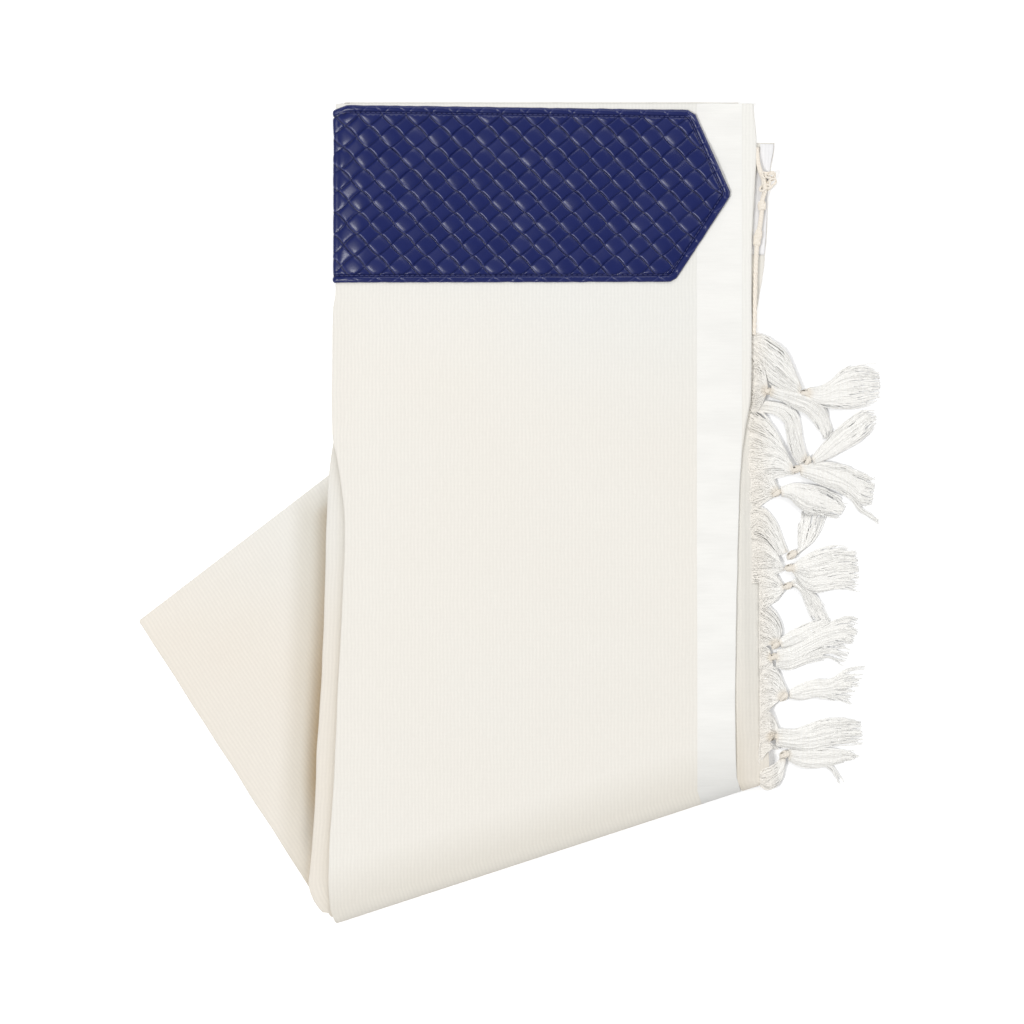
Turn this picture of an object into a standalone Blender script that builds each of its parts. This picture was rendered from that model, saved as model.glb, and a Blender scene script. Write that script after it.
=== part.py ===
"""A tallit, the Jewish prayer shawl, folded into a long stack of plies and laid flat.

The shawl is one wide cloth. It is folded in half at its centre line, each half is then folded in
three like a Z, and the lower part of the stack is turned under along a slanting fold, so that it
shows as a flap at the left. A plaited leather neckband, the atarah, is sewn across the centre line
and turns round the left fold. The end of the cloth shows at the right, with its corner patch, its
knotted corner cord and its tied fringe.

X runs to the right, Y runs up the panel and Z is up from the table. Sizes below are in
millimetres, and every point is turned into metres where its mesh is made.
"""

import math

import bmesh
import bpy
from mathutils import Vector

for old in list(bpy.data.objects):
    bpy.data.objects.remove(old, do_unlink=True)

MM = 0.001

# Cloth and stack heights.
CLOTH = 1.3  # wall of woven cloth
GAP = 0.3  # air between pieces that lie on each other
PLY_AIR = 0.6  # air under the top ply, where the stack bends over the flap
FLAP_STACK = 6.8  # the turned-under part
MAIN_STACK = 7.6  # the panel that lies on it
BASE = FLAP_STACK + GAP
TOP = BASE + MAIN_STACK

# The top ply's own folds: it turns under at both sides.
LEFT_FOLD = 1.6  # radius, so the fold is 3.2 thick
RIGHT_FOLD = 2.5
FOLD_LEG = 6.0  # how far the ply returns under itself
SECOND_FOLD = (MAIN_STACK - 2 * LEFT_FOLD - GAP) / 2
INNER_INSET = 10.3  # the hidden layers start this far inside the top ply's edges

# The slanting bottom fold, where the whole stack turns under to the table.
TOP_EDGE_Y = 277.0
TOP_PLY_EDGE_Y = 275.8
BOTTOM_LEFT = (-119.5, -278.7)
BOTTOM_SLOPE = 0.3265
FOLD_REACH = 1.4  # the fold's depth along the table over its radius
FOLD_MID = TOP / 2
BOTTOM_ANGLE = math.atan(BOTTOM_SLOPE)
FOLD_OUT = (math.sin(BOTTOM_ANGLE), -math.cos(BOTTOM_ANGLE))
FOLD_INSET = FOLD_REACH * FOLD_MID / math.cos(BOTTOM_ANGLE)

# The flap: corners of its flat part, and its thick rolled edge at the upper left.
FLAP_CORNER = (-251.0, -73.4)
FLAP_HIDDEN_CORNER = (-43.2, 85.9)
FLAP_FOLD_LEFT = (-125.4, -269.6)
FLAP_FOLD_RIGHT = (172.0, -172.4)
FLAP_REACH = 1.35
FLAP_MID = FLAP_STACK / 2
ROLL_INSET = FLAP_REACH * FLAP_MID

# How the main stack comes down off the flap to the table.
DRAPE_START = 8.0
DRAPE_LENGTH = 62.0

# Edges of the panels, one row for each height on the panel: (y, x).
TOP_PLY_LEFT = (
    (277.0, -118.0),
    (150.0, -118.0),
    (138.0, -119.6),
    (55.0, -119.9),
    (33.8, -116.4),
    (14.9, -113.4),
    (-7.4, -111.5),
    (-67.5, -113.4),
    (-112.7, -115.8),
    (-179.5, -118.8),
    (-241.9, -122.5),
    (-277.0, -121.0),
)
TOP_PLY_RIGHT = (
    (277.0, 164.7),
    (251.0, 166.7),
    (177.0, 163.4),
    (129.6, 162.0),
    (-188.5, 152.8),
)
SECOND_PLY_LEFT = (
    (277.0, -112.2),
    (154.6, -112.6),
    (80.0, -115.2),
    (55.4, -117.8),
    (38.5, -120.5),
    (16.2, -123.1),
    (-67.5, -125.6),
    (-126.9, -128.1),
    (-160.7, -130.3),
    (-207.9, -132.3),
    (-241.7, -135.1),
    (-252.0, -135.8),
    (-261.2, -133.0),
    (-268.0, -128.5),
    (-275.0, -122.9),
)
END_PLY_RIGHT = (
    (249.0, 178.8),
    (232.0, 176.4),
    (213.0, 174.3),
    (199.0, 174.2),
    (167.4, 172.0),
    (151.9, 169.7),
    (133.7, 166.8),
    (119.0, 166.4),
    (60.0, 168.0),
    (-20.0, 170.0),
    (-120.0, 171.6),
    (-188.0, 172.5),
)
END_PLY_TOP_Y = 249.6
END_PLY_EXTRA = 8.4  # the end ply's own bottom edge hangs this much past the fold's start
EXTRA_START = 0.86  # from this share of the panel's length

# The neckband, flat: outline along its length from the bend, and across it.
LEATHER = 1.2
BAND_BEND_X = TOP_PLY_LEFT[0][1] + LEFT_FOLD
BAND_RADIUS = LEFT_FOLD + GAP
BAND_TURN = math.pi * BAND_RADIUS
BAND_TUCK = 2.6
BAND_OUTLINE = (
    (-BAND_TURN - BAND_TUCK, 154.8),
    (227.2, 155.3),
    (265.8, 214.4),
    (240.1, 271.4),
    (-BAND_TURN - BAND_TUCK, 274.8),
)
BAND_RIM = 4.7
PLAIT_ACROSS = Vector((16.0, -0.54))  # from one over-cell to the next along the band
PLAIT_DOWN = Vector((-1.75, -14.6))  # and across it
PLAIT_ORIGIN = Vector((3.0, 262.0))
PLAIT_RISE = 0.9

# Fringe: (name, knot x, knot y, tail half-width, tail height, fan's two ends on the cloth's edge).
FRINGE = (
    ("tassel_01", 199.1, 81.7, 13.0, 3.4, 117.0, 96.0),
    ("tassel_02", 175.4, 80.6, 4.2, 3.2, 92.0, 72.0),
    ("tassel_03", 201.5, 34.5, 7.0, 6.4, 60.0, 44.0),
    ("tassel_04", 189.5, 25.2, 10.0, 2.4, 38.0, 22.0),
    ("tassel_05", 180.2, 12.0, 5.5, 6.0, 17.0, 5.0),
    ("tassel_06", 191.0, -27.7, 3.6, 2.2, -2.0, -20.0),
    ("tassel_07", 188.6, -42.0, 13.0, 5.4, -26.0, -40.0),
    ("tassel_08", 186.5, -52.0, 4.0, 3.0, -46.0, -60.0),
    ("tassel_09", 178.6, -92.0, 4.2, 6.4, -68.0, -84.0),
    ("tassel_10", 180.6, -101.0, 12.5, 2.8, -90.0, -104.0),
    ("tassel_11", 183.0, -124.6, 9.5, 3.0, -112.0, -128.0),
    ("tassel_12", 178.0, -145.6, 7.5, 3.0, -136.0, -148.0),
    ("tassel_13", 185.0, -164.6, 8.5, 3.0, -152.5, -168.0),
)
# Where each tail goes from its knot: two points (x, y) on its middle line and its end.
TAILS = {
    "tassel_01": ((211.0, 82.2), (229.0, 83.6), (250.3, 84.4)),
    "tassel_02": ((189.0, 76.6), (201.5, 67.8), (210.5, 53.0)),
    "tassel_03": ((211.0, 40.5), (226.0, 52.0), (243.0, 61.5)),
    "tassel_04": ((204.0, 25.6), (224.0, 25.0), (244.0, 18.0)),
    "tassel_05": ((192.0, 12.2), (207.0, 8.6), (223.0, 1.6)),
    "tassel_06": ((195.6, -20.0), (201.2, -12.0), (206.6, -3.0)),
    "tassel_07": ((200.0, -40.6), (216.0, -39.0), (234.0, -38.6)),
    "tassel_08": ((196.0, -55.4), (204.0, -63.0), (212.0, -70.4)),
    "tassel_09": ((190.0, -86.6), (201.0, -79.4), (212.0, -72.6)),
    "tassel_10": ((196.0, -95.6), (214.0, -89.6), (232.0, -84.6)),
    "tassel_11": ((196.0, -122.4), (214.0, -117.6), (233.0, -114.6)),
    "tassel_12": ((194.0, -145.6), (214.0, -144.0), (234.0, -146.0)),
    "tassel_13": ((198.0, -167.0), (213.0, -168.4), (230.0, -168.0)),
}
KNOT_RADIUS = 3.3
STRAND_SIDE = 0.85
FAN_STRANDS = 3  # in each of a fan's two ranks
TAIL_SPREAD = (0.45, 0.75, 1.0)  # of the tail's half-width, from its root to its end
EDGE_HEIGHT = 0.95
LOWEST_STRAND = 1.7

# The corner cord, the tzitzit: (x, y, height of its middle, radius) from the patch down.
CORNER_CORD = (
    (173.4, 243.5, 4.4, 1.2),
    (174.6, 236.0, 5.2, 2.1),
    (175.6, 230.4, 6.9, 3.9),
    (176.0, 225.4, 7.8, 4.8),
    (175.2, 220.4, 7.6, 4.6),
    (173.4, 215.6, 6.2, 3.2),
    (171.4, 211.0, 5.0, 1.9),
    (170.4, 207.8, 5.2, 2.3),
    (170.0, 203.4, 5.2, 2.3),
    (169.0, 200.2, 4.8, 1.6),
    (167.5, 193.2, 4.7, 1.6),
    (167.0, 190.6, 5.2, 2.2),
    (166.9, 186.2, 5.2, 2.2),
    (166.6, 183.2, 4.6, 1.6),
    (166.2, 176.0, 4.5, 1.5),
    (165.9, 166.0, 3.5, 1.5),
    (165.6, 142.0, 3.3, 1.6),
    (165.0, 120.0, 3.3, 1.5),
)


def along(table, at):
    """The second column of a table at a value of its falling first column, by smooth steps."""
    rows = len(table)
    if at >= table[0][0]:
        return table[0][1]
    if at <= table[-1][0]:
        return table[-1][1]
    k = next(i for i in range(rows - 1) if table[i + 1][0] <= at)
    (y0, x0), (y1, x1) = table[k], table[k + 1]

    def slope(i):
        if i == 0 or i == rows - 1:
            return 0.0
        return (table[i + 1][1] - table[i - 1][1]) / (table[i + 1][0] - table[i - 1][0])

    span = y1 - y0
    t = (at - y0) / span
    a = x0 * (1 + 2 * t) * (1 - t) ** 2 + x1 * t * t * (3 - 2 * t)
    b = slope(k) * span * t * (1 - t) ** 2 - slope(k + 1) * span * t * t * (1 - t)
    return a + b


def smooth(t):
    t = min(1.0, max(0.0, t))
    return t * t * (3 - 2 * t)


def outside(point, start, end):
    """Distance of a point past the line from start to end, on its left-hand side."""
    dx, dy = end[0] - start[0], end[1] - start[1]
    size = math.hypot(dx, dy)
    return ((point[1] - start[1]) * dx - (point[0] - start[0]) * dy) / size


def base_height(x, y):
    """Height of the main stack's underside: on the flap, or down on the table beside it."""
    past_roll = max(0.0, outside((x, y), FLAP_CORNER, FLAP_HIDDEN_CORNER))
    past_side = max(0.0, outside((x, y), FLAP_HIDDEN_CORNER, FLAP_FOLD_RIGHT))
    off = math.hypot(past_roll, past_side)
    return BASE * (1 - smooth((off - DRAPE_START) / DRAPE_LENGTH))


def fold_line(x):
    """Where the bottom fold starts to turn."""
    return BOTTOM_LEFT[1] + BOTTOM_SLOPE * (x - BOTTOM_LEFT[0]) + FOLD_INSET


def place(x, t, height, turn=0.0, extra=0.0, top=TOP_EDGE_Y):
    """A point of the main stack: t runs down the panel, then turn runs round the bottom fold."""
    y = top + (fold_line(x) - top) * t
    slide = extra * smooth((t - EXTRA_START) / (1 - EXTRA_START))
    if turn == 0.0:
        z = base_height(x, y) + height
        return (x + slide * FOLD_OUT[0], y + slide * FOLD_OUT[1], z)
    radius = BASE + height - FOLD_MID
    out = FOLD_REACH * radius * math.sin(turn) + slide
    z = FOLD_MID + radius * math.cos(turn)
    return (x + out * FOLD_OUT[0], y + out * FOLD_OUT[1], z)


def edge_at(table, t, turn, top=TOP_EDGE_Y):
    """An edge's x on the row t of the panel, or at a turn of the bottom fold."""
    x = table[-1][1]
    for _ in range(4):
        y = top + (fold_line(x) - top) * t
        y -= FOLD_REACH * FOLD_MID * math.sin(min(turn, math.pi / 2))
        x = along(table, y)
    return x


def cloth_edge(y):
    """Where the end ply's free edge stands at y, for the fringe that is tied on it."""
    x = along(END_PLY_RIGHT, y)
    t = (TOP_EDGE_Y - y) / (TOP_EDGE_Y - fold_line(x))
    x += END_PLY_EXTRA * FOLD_OUT[0] * smooth((t - EXTRA_START) / (1 - EXTRA_START))
    return x, base_height(x, y)


def arc(radius, wall, start, end, steps):
    """(outer, inner) offsets round a fold, in degrees from +X towards +Z."""
    out = []
    for k in range(steps + 1):
        a = math.radians(start + (end - start) * k / steps)
        c, s = math.cos(a), math.sin(a)
        inside = radius - wall
        out.append(((radius * c, radius * s), (inside * c, inside * s)))
    return out


def link(mesh_name, points, faces, colour, roughness):
    """Make an object from points in millimetres, with its own material."""
    mesh = bpy.data.meshes.new(mesh_name)
    mesh.from_pydata([tuple(c * MM for c in p) for p in points], [], faces)
    return finish(mesh_name, mesh, colour, roughness)


def finish(name, mesh, colour, roughness):
    """Point the faces out, shade the mesh smooth and give it its material."""
    bm = bmesh.new()
    bm.from_mesh(mesh)
    bmesh.ops.recalc_face_normals(bm, faces=bm.faces)
    bm.to_mesh(mesh)
    bm.free()
    mesh.shade_smooth()
    mesh.set_sharp_from_angle(angle=math.radians(40))
    material = bpy.data.materials.new(name + "_finish")
    material.use_nodes = True
    shader = material.node_tree.nodes["Principled BSDF"]
    shader.inputs["Base Color"].default_value = (*colour, 1.0)
    shader.inputs["Roughness"].default_value = roughness
    shader.inputs["Metallic"].default_value = 0.0
    mesh.materials.append(material)
    obj = bpy.data.objects.new(name, mesh)
    bpy.context.collection.objects.link(obj)
    return obj


def wall(name, rows, colour, roughness):
    """A cloth wall from rows of (outer, inner) point pairs."""
    points = [p for row in rows for pair in row for p in pair]
    count, columns = len(rows), len(rows[0])

    def at(j, i, side):
        return (j * columns + i) * 2 + side

    faces = []
    for j in range(count - 1):
        for i in range(columns - 1):
            faces.append((at(j, i, 0), at(j, i + 1, 0), at(j + 1, i + 1, 0), at(j + 1, i, 0)))
            faces.append((at(j, i, 1), at(j + 1, i, 1), at(j + 1, i + 1, 1), at(j, i + 1, 1)))
        for i in (0, columns - 1):
            faces.append((at(j, i, 0), at(j + 1, i, 0), at(j + 1, i, 1), at(j, i, 1)))
    for j in (0, count - 1):
        for i in range(columns - 1):
            faces.append((at(j, i, 0), at(j, i, 1), at(j, i + 1, 1), at(j, i + 1, 0)))
    return link(name, points, faces, colour, roughness)


def block(name, spot, columns, rows, levels, colour, roughness):
    """The closed skin of a lattice of columns, rows and levels, placed by spot(i, j, k)."""
    index, points, faces = {}, [], []

    def at(i, j, k):
        if (i, j, k) not in index:
            index[i, j, k] = len(points)
            points.append(spot(i, j, k))
        return index[i, j, k]

    for i in range(columns - 1):
        for j in range(rows - 1):
            for k in (0, levels - 1):
                faces.append((at(i, j, k), at(i + 1, j, k), at(i + 1, j + 1, k), at(i, j + 1, k)))
    for i in range(columns - 1):
        for k in range(levels - 1):
            for j in (0, rows - 1):
                faces.append((at(i, j, k), at(i + 1, j, k), at(i + 1, j, k + 1), at(i, j, k + 1)))
    for j in range(rows - 1):
        for k in range(levels - 1):
            for i in (0, columns - 1):
                faces.append((at(i, j, k), at(i, j + 1, k), at(i, j + 1, k + 1), at(i, j, k + 1)))
    return link(name, points, faces, colour, roughness)


CREAM = (0.87, 0.83, 0.76)
SATIN = (0.90, 0.89, 0.87)
YARN = (0.88, 0.86, 0.82)
NAVY = (0.018, 0.025, 0.115)

PANEL_ROWS = (0, 7.5, 15, 22.5, 25.5, 31, 37, 43, 49, 55, 61, 67, 73, 80, 87, 94, 100)  # percent
PANEL_COLUMNS = 17
BEND_ROWS = 8


def panel_stations(first=0.0):
    """(t, turn) down the panel and then round the bottom fold."""
    flat = [(first + (1 - first) * share / 100, 0.0) for share in PANEL_ROWS]
    return flat + [(1.0, math.pi * k / BEND_ROWS) for k in range(1, BEND_ROWS + 1)]


def top_ply():
    """The top ply, turned under at its left and right folds, and round the bottom fold."""
    rows = []
    for t, turn in panel_stations():
        left = edge_at(TOP_PLY_LEFT, t, turn)
        right = edge_at(TOP_PLY_RIGHT, t, turn)
        section = []
        centre = left + LEFT_FOLD
        low = MAIN_STACK - 2 * LEFT_FOLD
        mid = MAIN_STACK - LEFT_FOLD
        section.append(((centre + FOLD_LEG, low), (centre + FOLD_LEG, low + CLOTH)))
        for (ox, oz), (ix, iz) in arc(LEFT_FOLD, CLOTH, 270, 90, 5):
            section.append(((centre + ox, mid + oz), (centre + ix, mid + iz)))
        start, end = centre, right - RIGHT_FOLD
        for k in range(1, PANEL_COLUMNS - 1):
            x = start + (end - start) * k / (PANEL_COLUMNS - 1)
            section.append(((x, MAIN_STACK), (x, MAIN_STACK - CLOTH)))
        low = MAIN_STACK - 2 * RIGHT_FOLD
        mid = MAIN_STACK - RIGHT_FOLD
        for (ox, oz), (ix, iz) in arc(RIGHT_FOLD, CLOTH, 90, -90, 5):
            section.append(((end + ox, mid + oz), (end + ix, mid + iz)))
        section.append(((end - FOLD_LEG, low), (end - FOLD_LEG, low + CLOTH)))
        row = []
        for pair in section:
            row.append(tuple(place(x, t, z, turn, top=TOP_PLY_EDGE_Y) for x, z in pair))
        rows.append(row)
    return wall("front_panel", rows, CREAM, 0.9)


def second_ply():
    """The next fold down, which shows as a roll beside the top ply's left edge."""
    rows = []
    for t, turn in panel_stations():
        left = edge_at(SECOND_PLY_LEFT, t, turn)
        reach = edge_at(TOP_PLY_LEFT, t, turn) + INNER_INSET - GAP
        centre = left + SECOND_FOLD
        high = 2 * SECOND_FOLD
        section = [((reach, 0.0), (reach, CLOTH))]
        for (ox, oz), (ix, iz) in arc(SECOND_FOLD, CLOTH, 270, 90, 6):
            section.append(((centre + ox, SECOND_FOLD + oz), (centre + ix, SECOND_FOLD + iz)))
        section.append(((reach, high), (reach, high - CLOTH)))
        rows.append([tuple(place(x, t, z, turn) for x, z in pair) for pair in section])
    return wall("second_ply_roll", rows, CREAM, 0.9)


def inner_layers():
    """The plies hidden in the main stack, as one solid with grooves between them at its top edge."""
    stations = panel_stations()
    height = MAIN_STACK - CLOTH - PLY_AIR
    levels = (0.0, 0.15, 0.30, 0.36, 0.42, 0.64, 0.70, 0.76, 1.0)
    grooves = (0.5, 0.0, 0.0, 1.6, 0.0, 0.0, 1.6, 0.0, 0.4)

    def spot(i, j, k):
        t, turn = stations[j]
        left = edge_at(TOP_PLY_LEFT, t, turn) + INNER_INSET
        right = edge_at(TOP_PLY_RIGHT, t, turn) - INNER_INSET
        across = left + (right - left) * i / (PANEL_COLUMNS - 1)
        x, y, z = place(across, t, height * levels[k], turn)
        if j == 0:
            y -= grooves[k]
        return (x, y, z)

    counts = (PANEL_COLUMNS, len(stations), len(levels))
    return block("inner_layers", spot, *counts, CREAM, 0.92)


def end_ply():
    """The end of the cloth, which shows past the right fold and carries the fringe."""
    first = (TOP_EDGE_Y - END_PLY_TOP_Y) / (TOP_EDGE_Y - fold_line(170.0))
    rows = []
    for t, turn in panel_stations(first)[:-3]:
        cover = edge_at(TOP_PLY_RIGHT, t, turn)
        start = cover - INNER_INSET + GAP
        end = edge_at(END_PLY_RIGHT, t, turn)
        section = []
        for x in (start, cover + 0.4, cover + (end - cover) * 0.45, end - 1.2):
            section.append(((x, CLOTH), (x, 0.0)))
        section.append(((end, CLOTH * 0.75), (end, CLOTH * 0.25)))
        row = []
        for pair in section:
            extra = END_PLY_EXTRA * smooth((pair[0][0] - cover) / 8.0)
            row.append(tuple(place(x, t, z, turn, extra) for x, z in pair))
        rows.append(row)
    return wall("end_ply", rows, CREAM, 0.9)


def flap_spot(across, t, height, turn=0.0):
    """A point of the flap: across it from its lower left edge, and down it from the rolled edge."""
    top_left, top_right = Vector(FLAP_CORNER), Vector(FLAP_HIDDEN_CORNER)
    low_left, low_right = Vector(FLAP_FOLD_LEFT), Vector(FLAP_FOLD_RIGHT)
    down = (low_left - top_left).normalized()
    left = top_left + down * ROLL_INSET
    left += (low_left - left) * t
    right = top_right + (low_right - top_right).normalized() * ROLL_INSET
    right += (low_right - right) * t
    spot = left + (right - left).normalized() * across
    if turn == 0.0:
        return (spot.x, spot.y, height)
    edge = (top_right - top_left).normalized()
    out = Vector((-edge.y, edge.x)) * FLAP_REACH * (height - FLAP_MID) * math.sin(turn)
    return (spot.x + out.x, spot.y + out.y, FLAP_MID + (height - FLAP_MID) * math.cos(turn))


def flap_width(t):
    """How far the flap runs from its lower left edge to its hidden right edge."""
    left = Vector(flap_spot(0.0, t, 0.0)[:2])
    top = Vector(FLAP_HIDDEN_CORNER)
    low = Vector(FLAP_FOLD_RIGHT)
    return (top + (low - top) * t - left).length


def flap_stations():
    """(t, turn) from the table round the rolled edge and then down the flap."""
    roll = [(0.0, math.pi * (1 - k / BEND_ROWS)) for k in range(BEND_ROWS)]
    return roll + [(k / 4, 0.0) for k in range(5)]


def flap_ply():
    """The flap's top ply: its own side fold at the lower left, and its rolled edge at the upper left."""
    rows = []
    for t, turn in flap_stations():
        section = []
        low = FLAP_STACK - 2 * LEFT_FOLD
        mid = FLAP_STACK - LEFT_FOLD
        section.append(((LEFT_FOLD + FOLD_LEG, low), (LEFT_FOLD + FOLD_LEG, low + CLOTH)))
        for (ox, oz), (ix, iz) in arc(LEFT_FOLD, CLOTH, 270, 90, 5):
            section.append(((LEFT_FOLD + ox, mid + oz), (LEFT_FOLD + ix, mid + iz)))
        wide = flap_width(t)
        for share in (0.16, 0.33, 0.5, 0.75, 1.0):
            section.append(((wide * share, FLAP_STACK), (wide * share, FLAP_STACK - CLOTH)))
        rows.append([tuple(flap_spot(a, t, z, turn) for a, z in pair) for pair in section])
    return wall("flap_panel", rows, CREAM, 0.9)


def flap_layers():
    """The plies hidden in the flap, as one solid with rounded, grooved edges at its lower left."""
    below = FLAP_STACK - 2 * LEFT_FOLD - GAP
    top = FLAP_STACK - CLOTH - GAP
    shares = (0.0, 0.12, 0.36, 0.46, 0.52, 0.58, 0.70, 0.88, 1.0)
    heights = tuple(below * share for share in shares) + (below + 0.02, top)
    inward = (1.2, 0.35, 0.35, 1.0, 2.0, 1.0, 0.35, 0.35, 1.4, 8.0, 8.0)
    columns = 6
    rows = 6

    def spot(i, j, k):
        t = j / (rows - 1)
        wide = flap_width(t) - 1.0
        across = (inward[k], 8.6, 30.0, wide * 0.4, wide * 0.7, wide)[i]
        x, y, z = flap_spot(across, t, heights[k])
        inside = FLAP_MID - CLOTH - GAP
        swell = max(0.0, inside * inside - (z - FLAP_MID) ** 2) ** 0.5
        if j == 0:
            edge = (Vector(FLAP_HIDDEN_CORNER) - Vector(FLAP_CORNER)).normalized()
            push = (FLAP_REACH * swell * 0.9 if i > 1 else 0.0) - GAP
            x -= edge.y * push
            y += edge.x * push
        if j == rows - 1:
            x -= FOLD_OUT[0] * GAP
            y -= FOLD_OUT[1] * GAP
        return (x, y, z)

    return block("flap_layers", spot, columns, rows, len(heights), CREAM, 0.92)


def corner_patch():
    """The satin patch sewn on the corner of the cloth's end, where the corner cord is tied."""
    rows = []
    low, high = CLOTH + GAP, CLOTH + GAP + 0.9
    for y in (248.9, 236.0, 222.0, 206.0, 190.0, 174.0):
        end = along(END_PLY_RIGHT, y) - 0.5
        start = end - 9.0
        section = []
        for share in (0.0, 0.5, 1.0):
            x = start + (end - start) * share
            section.append(((x, y, high), (x, y, low)))
        rows.append(section)
    return wall("corner_patch", rows, SATIN, 0.45)


def band_spot(u, v, w):
    """A point of the neckband: u along it from the bend, v across it, w up from its underside."""
    if u >= 0.0:
        x = BAND_BEND_X + u
        return (x, v, base_height(x, v) + MAIN_STACK + GAP + w)
    radius = BAND_RADIUS + w
    mid = MAIN_STACK - LEFT_FOLD
    turned = min(-u, BAND_TURN)
    a = turned / BAND_RADIUS
    tuck = -u - turned
    return (BAND_BEND_X - radius * math.sin(a) + tuck, v, mid + radius * math.cos(a))


def neckband():
    """The atarah: a leather wall with a plain rim, raised where its plaited strips cross."""
    bm = bmesh.new()
    corners = [bm.verts.new((u, v, 0.0)) for u, v in BAND_OUTLINE]
    face = bm.faces.new(corners)
    made = bmesh.ops.extrude_face_region(bm, geom=[face])
    for item in made["geom"]:
        if isinstance(item, bmesh.types.BMVert):
            item.co.z = LEATHER
    bmesh.ops.recalc_face_normals(bm, faces=bm.faces)
    top = [f for f in bm.faces if f.normal.z > 0.9]
    bmesh.ops.inset_region(bm, faces=top, thickness=BAND_RIM, use_even_offset=True)

    def cut(faces, point, normal):
        edges = {e for f in faces for e in f.edges}
        verts = {v for f in faces for v in f.verts}
        geometry = list(faces) + list(edges) + list(verts)
        bmesh.ops.bisect_plane(bm, geom=geometry, dist=1e-4, plane_co=point, plane_no=normal)

    bm.faces.ensure_lookup_table()
    tag = bm.faces.layers.int.new("plait")
    middle = max((f for f in bm.faces if f.normal.z > 0.9), key=lambda f: f.calc_area())
    middle[tag] = 1
    one = (PLAIT_ACROSS + PLAIT_DOWN) / 2
    two = (PLAIT_ACROSS - PLAIT_DOWN) / 2
    for step, run in ((two, one), (one, two)):
        normal = Vector((-run.y, run.x, 0.0)).normalized()
        for k in range(-30, 31):
            spot = PLAIT_ORIGIN + step * (k + 0.5)
            faces = [f for f in bm.faces if f[tag] == 1]
            cut(faces, Vector((spot.x, spot.y, 0.0)), normal)
    for k in range(6):
        at = Vector((-BAND_TURN * k / 5, 0.0, 0.0))
        cut(list(bm.faces), at, Vector((1.0, 0.0, 0.0)))
    cell = abs(one.x * two.y - one.y * two.x)
    whole = [f for f in bm.faces if f[tag] == 1 and f.calc_area() > 0.55 * cell]
    bmesh.ops.poke(bm, faces=whole, offset=PLAIT_RISE)
    for v in bm.verts:
        v.co = Vector(band_spot(*v.co)) * MM
    mesh = bpy.data.meshes.new("atarah")
    bm.to_mesh(mesh)
    bm.free()
    return finish("atarah", mesh, NAVY, 0.5)


def corner_cord():
    """The tzitzit: a cord knotted three times below its loops, as one tube of changing thickness."""
    sides = 8
    points, faces = [], []
    stations = [Vector(row[:3]) for row in CORNER_CORD]
    for k, row in enumerate(CORNER_CORD):
        ahead = stations[min(k + 1, len(stations) - 1)] - stations[max(k - 1, 0)]
        ahead.normalize()
        side = ahead.cross(Vector((0.0, 0.0, 1.0))).normalized()
        up = side.cross(ahead)
        for s in range(sides):
            a = 2 * math.pi * s / sides
            points.append(stations[k] + (side * math.cos(a) + up * math.sin(a)) * row[3])
    for k in range(len(stations) - 1):
        for s in range(sides):
            n = (s + 1) % sides
            faces.append((k * sides + s, k * sides + n, (k + 1) * sides + n, (k + 1) * sides + s))
    faces.append(tuple(range(sides)))
    last = (len(stations) - 1) * sides
    faces.append(tuple(last + s for s in range(sides)))
    return link("tzitzit", points, faces, YARN, 0.9)


def tail_strands(half_width):
    """How many strands lie side by side in each of a tail's two ranks."""
    return 6 if half_width > 9 else 5 if half_width > 6 else 3


def tail_radii(half_width):
    """How thick a tail's strand is at each of its stations, so that it clears its neighbours."""
    between = 2 * half_width / (tail_strands(half_width) - 1)
    spread = [min(STRAND_SIDE, 0.52 * between * share) for share in TAIL_SPREAD]
    return spread[0], spread[1], 0.5 * STRAND_SIDE


def tail_spots(path, knot, half_width, rank_share, upper):
    """The places that one strand of a tail passes: fanned out to both sides of the tail's middle."""
    share = (2 * rank_share - 1) * (1.0 if upper else 0.86)
    spots, before = [], knot
    for k, mid in enumerate(path):
        run = path[min(k + 1, len(path) - 1)] - before
        run.z = 0.0
        run.normalize()
        across = Vector((-run.y, run.x, 0.0))
        grow = TAIL_SPREAD[k]
        rise = (1.0, 0.8, 0.6)[k] * (1.1 if upper else -1.1)
        back = 3.0 * share * share if k == 2 else 0.0
        spot = mid + across * share * half_width * grow - run * back
        spot.z = max(LOWEST_STRAND, mid.z + rise)
        spots.append(spot)
        before = mid
    return spots


def strand(bm, face, spots, radii):
    """Draw a face of the knot out into a strand that passes the spots and grows thinner."""
    for spot, radius in zip(spots, radii):
        before = face.calc_center_median()
        made = bmesh.ops.extrude_discrete_faces(bm, faces=[face])["faces"][0]
        corners = [v.co - before for v in made.verts]
        ahead = (spot - before).normalized()
        flat = [c - ahead * c.dot(ahead) for c in corners]
        mean = sum(c.length for c in flat) / len(flat)
        for v, c in zip(made.verts, flat):
            v.co = spot + c * (radius / mean)
        face = made


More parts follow.
